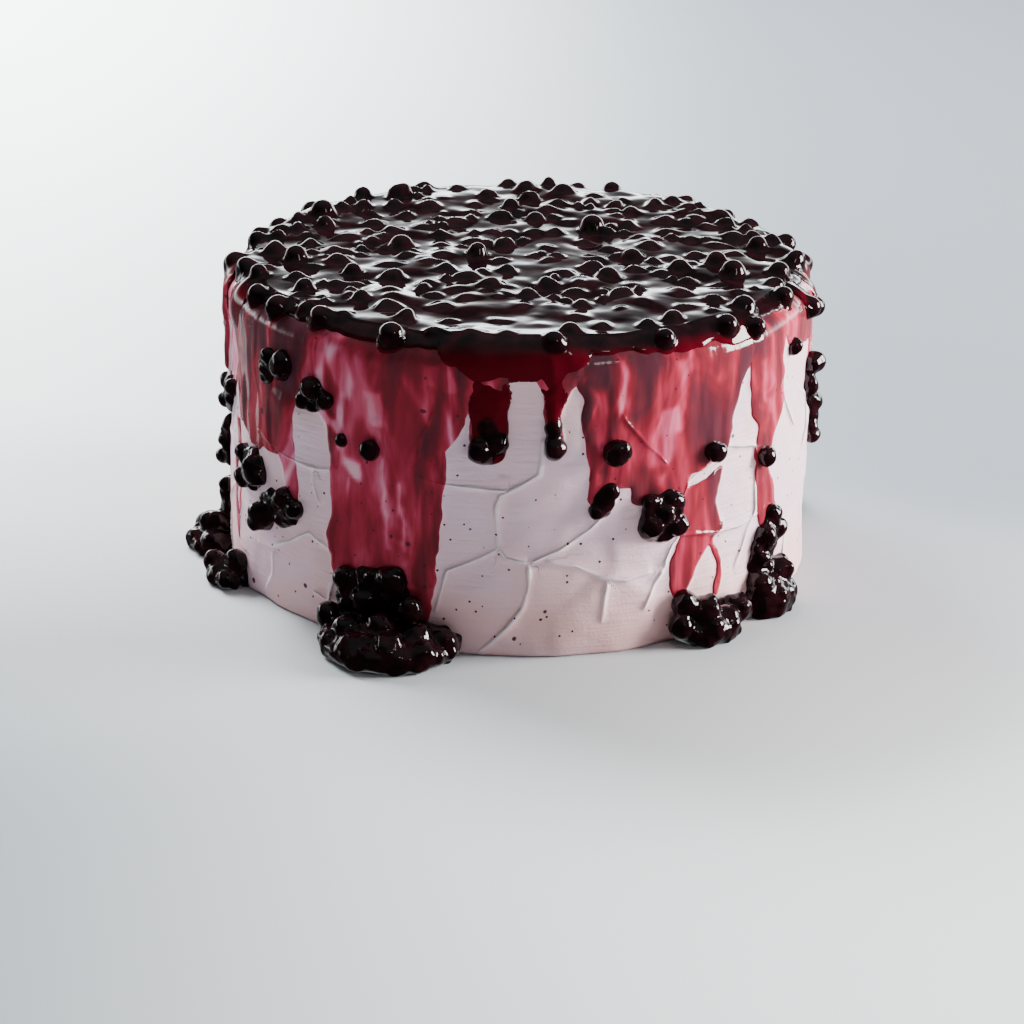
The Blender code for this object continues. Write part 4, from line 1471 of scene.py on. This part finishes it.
    def spread(
        self, square: np.ndarray, berries: Sequence[Dome], under: np.ndarray
    ) -> tuple[np.ndarray, np.ndarray, np.ndarray]:
        """Maps a square grid to the sheet's outline on the unrolled skin.

        Args:
            square: Grid points from -1 to 1.
            berries: The sheet's berries.
            under: Number of the ring under the edge that a point is on, or 0.

        Returns:
            Both coordinates on the unrolled skin, and the distance to the edge.
        """
        u, v = square[:, 0], square[:, 1]
        wide = np.abs(u) >= np.abs(v)
        ring = np.where(wide, u, v)
        other = np.where(wide, v, u)
        safe = np.where(np.abs(ring) < 1e-9, 1e-9, ring)
        turn = math.pi / 4 * other / safe
        turn = np.where(wide, turn, math.pi / 2 - turn)
        turn = np.where(ring < 0, turn + math.pi, turn)
        share = np.abs(ring)
        angle = turn + math.pi / 2
        degrees = np.degrees(angle) % 360
        table = np.arange(0, 360, self.edge_step)
        arcs = self.edge(table, berries)
        end = np.interp(degrees, table, arcs, period=360)
        inner = self.form.flat_radius * 0.985
        outer = inner + (end - inner) * np.clip((share - self.inner_share) / (1 - self.inner_share), 0, 1)
        arc = np.where(share < self.inner_share, share / self.inner_share * inner, outer)
        edge_x = arcs * np.sin(np.radians(table))
        edge_y = -arcs * np.cos(np.radians(table))
        near = np.full(len(arc), 20 * MM)
        close = np.where(arc > inner - 6 * MM)[0]
        px = arc[close] * np.sin(angle[close])
        py = -arc[close] * np.cos(angle[close])
        spot = (degrees[close] / self.edge_step).astype(int)
        best = np.full(len(close), 1.0)
        for offset in range(-28, 29):
            number = (spot + offset) % len(table)
            best = np.minimum(best, np.hypot(px - edge_x[number], py - edge_y[number]))
        near[close] = best
        back = (under - 1) / (self.edge_rings - 1)
        arc = np.where(under > 0, end + (inner - 2 * MM - end) * np.maximum(back, 0.0), arc)
        return arc * np.sin(angle), -arc * np.cos(angle), near

    def fall(
        self, x: np.ndarray, y: np.ndarray, room: np.ndarray, points: np.ndarray, away: np.ndarray,
        berries: Sequence[Dome],
    ) -> tuple[np.ndarray, np.ndarray]:
        """Height of the wet surface over the skin, found by stepping down onto it.

        Args:
            x: First coordinates on the unrolled skin.
            y: Second coordinates.
            room: Distance to the sheet's edge.
            points: The skin at those places.
            away: Directions away from it.
            berries: The sheet's berries.

        Returns:
            Heights in metres, and distances to the nearest berry.
        """
        flat = np.stack([x, y, np.zeros(len(x))], axis=1)
        over = np.clip((np.hypot(x, y) - self.form.flat_radius) / self.form.rim_arc, 0, 1)
        swell = np.array([noise.noise(Vector(place) / self.wave_length) for place in flat]) * 2
        level = (self.thickness + self.waves * swell) * (1 - over) + self.run_thickness * over
        swell = wave(flat, 17 * MM, 3.0) * 0.6 * MM + wave(flat, 8 * MM, 8.0) * 0.18 * MM
        swell = swell + wave(flat, 4 * MM, 2.0) * 0.03 * MM
        level = level + swell * (1 - 0.7 * over) + self.heaped(x, y)
        edge = np.where(over > 0, 0.4 + 0.6 * ramp(room, 0, 9 * MM), 1.0)
        bead = np.sqrt(1 - (1 - np.clip(room / (1.5 * MM), 0, 1)) ** 2)
        level = level * bead * edge
        spots = np.array([(dome.x, dome.y) for dome in berries])
        base, normal = self.form.skin(spots[:, 0], spots[:, 1])
        balls = []
        dragged = np.stack([wave(flat, 8 * MM, 31.0), wave(flat, 8 * MM, 47.0), np.zeros(len(x))], axis=1)
        dragged = dragged * (1.5 * MM * (1 - over))[:, None]
        for number, dome in enumerate(berries):
            radius, centre, reach = dome.draped(self.form.flat_radius)
            ball = base[number] + normal[number] * (centre + self.heaped(dome.x, dome.y))
            chosen = np.where(np.maximum(np.abs(x - dome.x), np.abs(y - dome.y)) < self.berry_reach)[0]
            balls.append((ball, radius, chosen, reach, dragged[chosen] * (0.0 if dome.crisp else 1.0)))
        lift = np.full(len(x), self.fall_from)
        for _ in range(self.fall_steps):
            place = points + away * lift[:, None]
            total = lift - level
            for ball, radius, chosen, reach, drag in balls:
                away_from = np.linalg.norm(place[chosen] + drag - ball, axis=1) - radius
                total[chosen] = melt(total[chosen], away_from, reach)
            lift = lift - total * 0.85
        place = points + away * lift[:, None]
        bare = np.full(len(x), 5 * MM)
        for ball, radius, chosen, _, drag in balls:
            away_from = np.linalg.norm(place[chosen] + drag - ball, axis=1) - radius
            bare[chosen] = np.minimum(bare[chosen], away_from)
        return np.maximum(lift, 0.0) * np.where(room > 0.05 * MM, 1.0, 0.0), bare

    def heaped(self, x: np.ndarray, y: np.ndarray) -> np.ndarray:
        """How much higher the jam lies towards the back, at places on the unrolled skin."""
        fading = 1 - ramp(np.hypot(x, y), self.form.flat_radius - 4 * MM, self.form.flat_radius + 8 * MM)
        return self.back_rise * ramp(np.asarray(y), 0.0, 75 * MM) * fading

    def drips(self) -> list[WetLump]:
        """The narrow drips, each a chain of flattened lumps with berries at its end.

        Returns:
            The drips, not built yet.
        """
        made = []
        form = self.form
        for number, run in enumerate(self.runs):
            if not self.is_drip(run):
                continue
            start = form.side_top - 3 * MM
            end = form.side_top - (self.edge_beyond + run.length * MM - form.rim_arc)
            pieces: list[Berry | Blob] = []
            for step in range(self.drip_steps + 1):
                share = step / self.drip_steps
                height = (start + (end - start) * share) / MM
                narrow = self.necks.get(run.angle, 0.85)
                width = run.half_width * MM_PER_DEGREE
                width = width * (1.0 - (1.0 - narrow) * math.sin(math.pi * min(share * 0.8, 1.0)))
                width = width * (1.15 - 0.15 * min(share * 2.5, 1.0))
                depth = 0.4 + 1.5 * min(share * 1.4, 1.0)
                angle = run.angle + 0.25 * math.sin(step * 1.3)
                pieces.append(Blob(angle, height, width * 0.95, 4.4, depth, 0.0))
            for angle, beyond, radius in self.drip_berries:
                if abs((angle - run.angle + 180) % 360 - 180) < run.half_width + 1:
                    height = (form.side_top + form.rim_arc) / MM - beyond
                    pieces.append(Berry(angle, height, radius, 0.35 * radius))
            made.append(WetLump(f"drip_{number}", pieces, form, wine=0.9 if abs(run.angle) < 20 else 0.5))
        return made


SHAPES: dict[str, Sequence[Berry | Blob]] = {
    "left_high": (
        Blob(-81, 62, 8.5, 7, 2.8, 0), Berry(-84, 64.5, 3.1, 1.4), Berry(-84, 57.5, 3.1, 1.8),
        Berry(-76.5, 66, 3.2, 0.8)),
    "left_middle": (
        Blob(-83.5, 42.5, 4.2, 10, 2.6, 0), Berry(-84, 43, 3.1, 1.5), Berry(-85, 36, 3.3, 1.8),
        Berry(-82, 49, 2.6, 0.9)),
    "left_front": (
        Blob(-62, 45.5, 8, 7.4, 2.6, 0), Berry(-66, 49, 3.4, 0.9), Berry(-59, 46.8, 5.5, 0.8),
        Berry(-66, 40, 3.6, 0.9)),
    "left_lower": (
        Blob(-51.5, 37, 10.5, 6, 2.7, 0), Berry(-49.5, 42, 4.1, 1.0), Berry(-46.5, 39.5, 3.4, 0.9),
        Berry(-56.5, 32, 5.3, 1.0)),
    "left_rim": (
        Blob(-52, 87.5, 7.2, 4.8, 2.6, 0), Berry(-54.5, 89, 3.3, 1.2), Berry(-50, 88.5, 4.7, 1.2),
        Blob(-56, 84.5, 3.8, 6, 2.2, 0.2)),
    "left_drip": (
        Blob(-42, 81.5, 6.2, 6.2, 2.6, 0), Berry(-42, 84, 4.0, 1.4), Berry(-44.5, 78.5, 2.9, 0.9),
        Berry(-38.5, 81, 3.1, 0.8)),
    "right_square": (
        Blob(27.5, 46, 8.0, 8.8, 3.2, 0), Berry(25, 52, 3.3, 1.2), Berry(30, 51, 3.3, 1.3),
        Berry(25, 44, 4.4, 1.6),
        Berry(30.5, 43, 4.2, 1.5), Berry(27.5, 48, 3.4, 2.4)),
    "slanted_drip": (
        Blob(16, 54, 3.4, 5.5, 2.3, 0.4), Berry(14.5, 51, 2.8, 1.2), Berry(17.3, 57.5, 2.7, 0.9)),
    "right_string": (
        Blob(82, 68, 4.0, 9, 2.5, 0.6), Blob(83, 54, 3.6, 8.5, 2.5, 0.6), Berry(82, 75.5, 4.0, 2.6),
        Berry(80.5, 68, 3.6, 2.0), Berry(84, 60, 3.5, 2.9), Berry(83, 48, 3.0, 1.8)),
    "left_pool": (
        Blob(-87, 3, 13, 5.5, 13, 3), Blob(-88, 14, 5, 12, 4, 0.5), Berry(-86, 24, 3.0, 1.6),
        Berry(-86, 9, 5.5, 5.5), Berry(-91, 6, 4.6, 9), Berry(-82, 5, 4.6, 6)),
    "left_foot": (
        Blob(-69, 2.5, 9, 6, 9.5, 3), Berry(-66.5, 8.5, 4.2, 3.0), Berry(-72, 5.5, 4.0, 8.5),
        Berry(-65.5, 3.5, 3.6, 7.5)),
    "front_heap": (
        Blob(-23, 4, 24, 8, 24, 3), Blob(-27, 15, 14, 12, 5, 0.5), Berry(-33, 22, 4.1, 2.0),
        Berry(-23, 24, 5.0, 2.0),
        Berry(-28, 16, 4.6, 4.4), Berry(-19, 16, 4.6, 4.6), Berry(-35, 9, 4.4, 6.5), Berry(-29, 9, 4.6, 13),
        Berry(-23, 11, 4.8, 11), Berry(-16.5, 9, 4.8, 10.5), Berry(-12.5, 7, 4.4, 6.5),
        Berry(-26, 6, 4.6, 20),
        Berry(-20, 7.5, 5.0, 18.5), Berry(-14.5, 5.5, 4.6, 16)),
    "right_foot": (
        Blob(38, 4, 12, 7, 10.5, 2.5), Berry(33, 13.5, 4.8, 2.2), Berry(36.5, 10.5, 5.6, 4.2),
        Berry(44.5, 8, 5.0, 4.2),
        Berry(31.5, 7, 4.6, 4.4), Berry(40.5, 7, 4.6, 6.5)),
    "right_column": (
        Blob(54.5, 18, 6.2, 14, 3.8, 0.6), Blob(56, 4.5, 11, 9, 9, 2), Blob(57, 28, 5.4, 8, 3.0, 0.6),
        Berry(57.5, 35, 3.3, 1.6),
        Berry(59.5, 28.5, 3.3, 1.8), Berry(54.5, 28, 4.0, 1.9), Berry(59.5, 13, 5.2, 3.4),
        Berry(52.5, 12, 4.8, 2.6),
        Berry(61, 5.5, 4.3, 5)),
    "berry_shrivelled": (Berry(-34.5, 69, 2.3, 0.5),),
    "berry_left": (Berry(-28, 68, 3.5, 1.4),),
    "berry_large": (Berry(18, 71, 4.6, 2.0),),
    "berry_middle": (Berry(39, 65, 3.9, 1.6),),
    "berry_right": (Berry(54, 57, 3.5, 1.6),),
    "berry_under_rim": (Berry(65, 90, 3.1, 1.2),),
}

BACK_SHAPES: dict[str, tuple[str, float, float]] = {
    "back_square": ("right_square", 103, 10),
    "back_berry_a": ("berry_large", 108, 2),
    "back_foot_a": ("right_foot", 79, 0),
    "back_drip_a": ("left_drip", 207, -8),
    "back_lower": ("left_lower", 222, -4),
    "back_heap": ("right_column", 137, 0),
    "back_berry_b": ("berry_middle", 166, -12),
    "back_rim": ("left_rim", 260, -5),
    "back_cluster": ("left_front", 300.5, 6),
    "back_foot_b": ("left_foot", 301, 0),
    "back_berry_c": ("berry_left", 287, -8),
    "back_string": ("right_string", 166, -8),
}


@dataclass(frozen=True)
class Lamp:
    """A soft rectangular lamp: where it stands, its size in metres, watts, colour, and if gloss shows it."""

    name: str
    place: tuple[float, float, float]
    size: tuple[float, float]
    power: float
    colour: tuple[float, float, float] = (1.0, 0.985, 0.96)
    gloss: bool = True
    target: tuple[float, float, float] = (0.0, 0.0, 0.05)


@dataclass
class Studio:
    """Pale floor, a dark room with a pale backdrop, soft light from the right, and the camera."""

    lens: float = 36.0 * 3000 / 1024
    distance: float = 1.083
    pitch: float = math.radians(20.9)
    roll: float = math.radians(0.8)
    aim: tuple[float, float, float] = (-0.00165, 0.0, 0.0123)
    card: float = 10.0
    glow: float = 0.3
    air: tuple[float, float, float, float] = (0.93, 0.97, 1.0, 1.0)
    # Colour of the floor's painted shade.
    floor_painted_shade: tuple[float, float, float, float] = (0.25, 0.285, 0.325, 1.0)
    pale_floor: tuple[float, float, float, float] = (0.9, 0.93, 0.95, 1.0)
    lamps: Sequence[Lamp] = (
        Lamp("window", (1.2, 0.05, 0.34), (0.45, 0.65), 60.0),
        Lamp("front_window", (0.75, -1.0, 1.05), (0.19, 0.25), 1.5),
        Lamp("left_fill", (-1.2, -1.3, 0.9), (1.2, 1.2), 0.5, (0.97, 0.97, 1.0), False),
        Lamp("floor_wash", (-0.1, 1.5, 1.6), (2.4, 1.0), 20.0, (0.95, 0.98, 1.0), False, (-0.1, 1.1, 0.0)),
        Lamp("left_wash", (-0.75, 1.0, 0.8), (0.7, 0.9), 85.0, (0.98, 1.0, 0.99), False, (-0.5, 0.75, 0.0)),
    )

    def camera(self) -> bpy.types.Object:
        """Places the camera where the photograph was taken from.

        Returns:
            The camera, set as the scene's.
        """
        forward = Vector((0.0, math.cos(self.pitch), -math.sin(self.pitch)))
        upward = Vector((0.0, math.sin(self.pitch), math.cos(self.pitch)))
        right = Vector((1.0, 0.0, 0.0))
        tilted_right = right * math.cos(self.roll) + upward * math.sin(self.roll)
        tilted_up = upward * math.cos(self.roll) - right * math.sin(self.roll)
        turned = Matrix((tilted_right, tilted_up, -forward)).transposed()
        data = bpy.data.cameras.new("camera")
        data.lens = self.lens
        data.sensor_width = 36.0
        made = bpy.data.objects.new("camera", data)
        made.matrix_world = Matrix.Translation(Vector(self.aim) - forward * self.distance) @ turned.to_4x4()
        bpy.context.scene.collection.objects.link(made)
        bpy.context.scene.camera = made
        return made

    def lamp(self, lamp: Lamp) -> None:
        """Adds a soft rectangular lamp.

        Args:
            lamp: Where it stands, where it points, and its light.
        """
        data = bpy.data.lights.new(lamp.name, "AREA")
        data.shape = "RECTANGLE"
        data.size, data.size_y = lamp.size
        data.energy = lamp.power
        data.color = lamp.colour
        made = bpy.data.objects.new(lamp.name, data)
        made.location = lamp.place
        target = Vector(lamp.target) - Vector(lamp.place)
        made.rotation_euler = target.to_track_quat("-Z", "Y").to_euler()
        made.visible_glossy = lamp.gloss
        bpy.context.scene.collection.objects.link(made)

    def room(self) -> None:
        """Makes a dark room: a pale card low behind the cake, a narrow one on its left, a glow from above."""
        world = bpy.data.worlds.new("room")
        world.use_nodes = True
        sheet = NodeSheet(world.node_tree)
        x, y, z = sheet.axes(sheet.node("ShaderNodeTexCoord").outputs["Generated"])
        falling = sheet.math("POWER", sheet.remap(z, 0.08, 0.42, 1.0, 0.0), 3.3)
        card = sheet.product(
            sheet.math("ADD", falling, sheet.remap(z, 0.22, 0.48, 0.065, 0.0)),
            sheet.remap(y, 0.0, 0.5, 0.0, self.card),
            sheet.remap(z, -0.04, 0.12, 0.03, 1.0),
            sheet.remap(x, -0.8, -0.4, 0.6, 1.0),
        )
        side_card = sheet.product(
            sheet.remap(x, -0.62, -0.57, 0.0, 0.8),
            sheet.remap(x, -0.54, -0.46, 1.0, 0.0),
            sheet.remap(z, -0.05, 0.1, 1.0, 0.0),
            sheet.remap(y, -0.1, 0.3, 0.0, 1.0),
        )
        glow = sheet.remap(z, 0.45, 1.0, 0.03, self.glow)
        strength = sheet.math("ADD", sheet.math("ADD", card, side_card), glow)
        sheet.feed_all(sheet.tree.nodes["Background"], Color=self.air, Strength=strength)
        bpy.context.scene.world = world

    def floor(self) -> None:
        """Makes the pale floor with painted light and shade: darker towards the left at the front and towards
        the right behind.
        """
        shape = bmesh.new()
        bmesh.ops.create_grid(shape, x_segments=8, y_segments=8, size=6.0)
        made = to_object(shape, "floor")
        sheet = ShaderSheet("pale_floor")
        x, y, _ = sheet.axes(sheet.coordinates())
        # Painted light and shade: the floor is lit towards the right at the front and towards the left
        # behind, and shaded elsewhere.
        front = sheet.remap(x, -0.24, 0.14, 0.0, 1.0)
        back = sheet.remap(x, -0.28, 0.17, 1.0, 0.0)
        painted_floor_light = sheet.weigh(sheet.remap(y, -0.25, 0.08, 0.0, 1.0), front, back)
        colour = sheet.blend(painted_floor_light, self.floor_painted_shade, self.pale_floor)
        made.data.materials.append(sheet.finish(Base_Color=colour, Roughness=0.7))
        made.visible_glossy = False

    def build(self) -> None:
        """Sets up the light, the floor and the camera."""
        self.camera()
        self.floor()
        self.room()
        for lamp in self.lamps:
            self.lamp(lamp)


def hand_over(piece: bpy.types.Object, material: bpy.types.Material, node: str) -> None:
    """Dresses a piece and lets it ride on the cake in place of a plain solid.

    Args:
        piece: The finished piece.
        material: Its material.
        node: The solid it stands for.
    """
    piece.data.materials.append(material)
    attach(piece, "root")
    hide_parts(node)
    log.info("%s: %d faces", piece.name, len(piece.data.polygons))


def side_lumps(form: CakeForm) -> dict[str, WetLump]:
    """The clusters, berries and heaps on the side and at the foot.

    Args:
        form: The cake they sit on.

    Returns:
        The lumps, not built yet, by the solid that each stands for.
    """
    lumps = {name: WetLump(f"wet_{name}", pieces, form) for name, pieces in SHAPES.items()}
    for name, (source, turn, rise) in BACK_SHAPES.items():
        lumps[name] = WetLump(f"wet_{name}", SHAPES[source], form, turn, rise)
    return lumps


def main() -> None:
    """Builds the cake's looks over its frame."""
    logging.basicConfig(level=logging.INFO, format="%(message)s")
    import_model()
    form = CakeForm()
    frosting = FrostingFinish().material(SauceStain().group())
    sheet_jam = JamFinish("wet_jam_sheet", 130.0, 0.06 * MM).material()
    lump_jam = JamFinish("wet_jam_lumps", 380.0, 0.17 * MM).material()
    topping = JamTopping(form)
    hand_over(FrostedCake(form).build(), frosting, "frosted_cake")
    hand_over(topping.build(), sheet_jam, "berry_topping")
    for drip in topping.drips():
        hand_over(drip.build(), lump_jam, "berry_topping")
    for node, lump in side_lumps(form).items():
        hand_over(lump.build(), lump_jam, node)
    Studio().build()


if __name__ == "__main__":
    main()
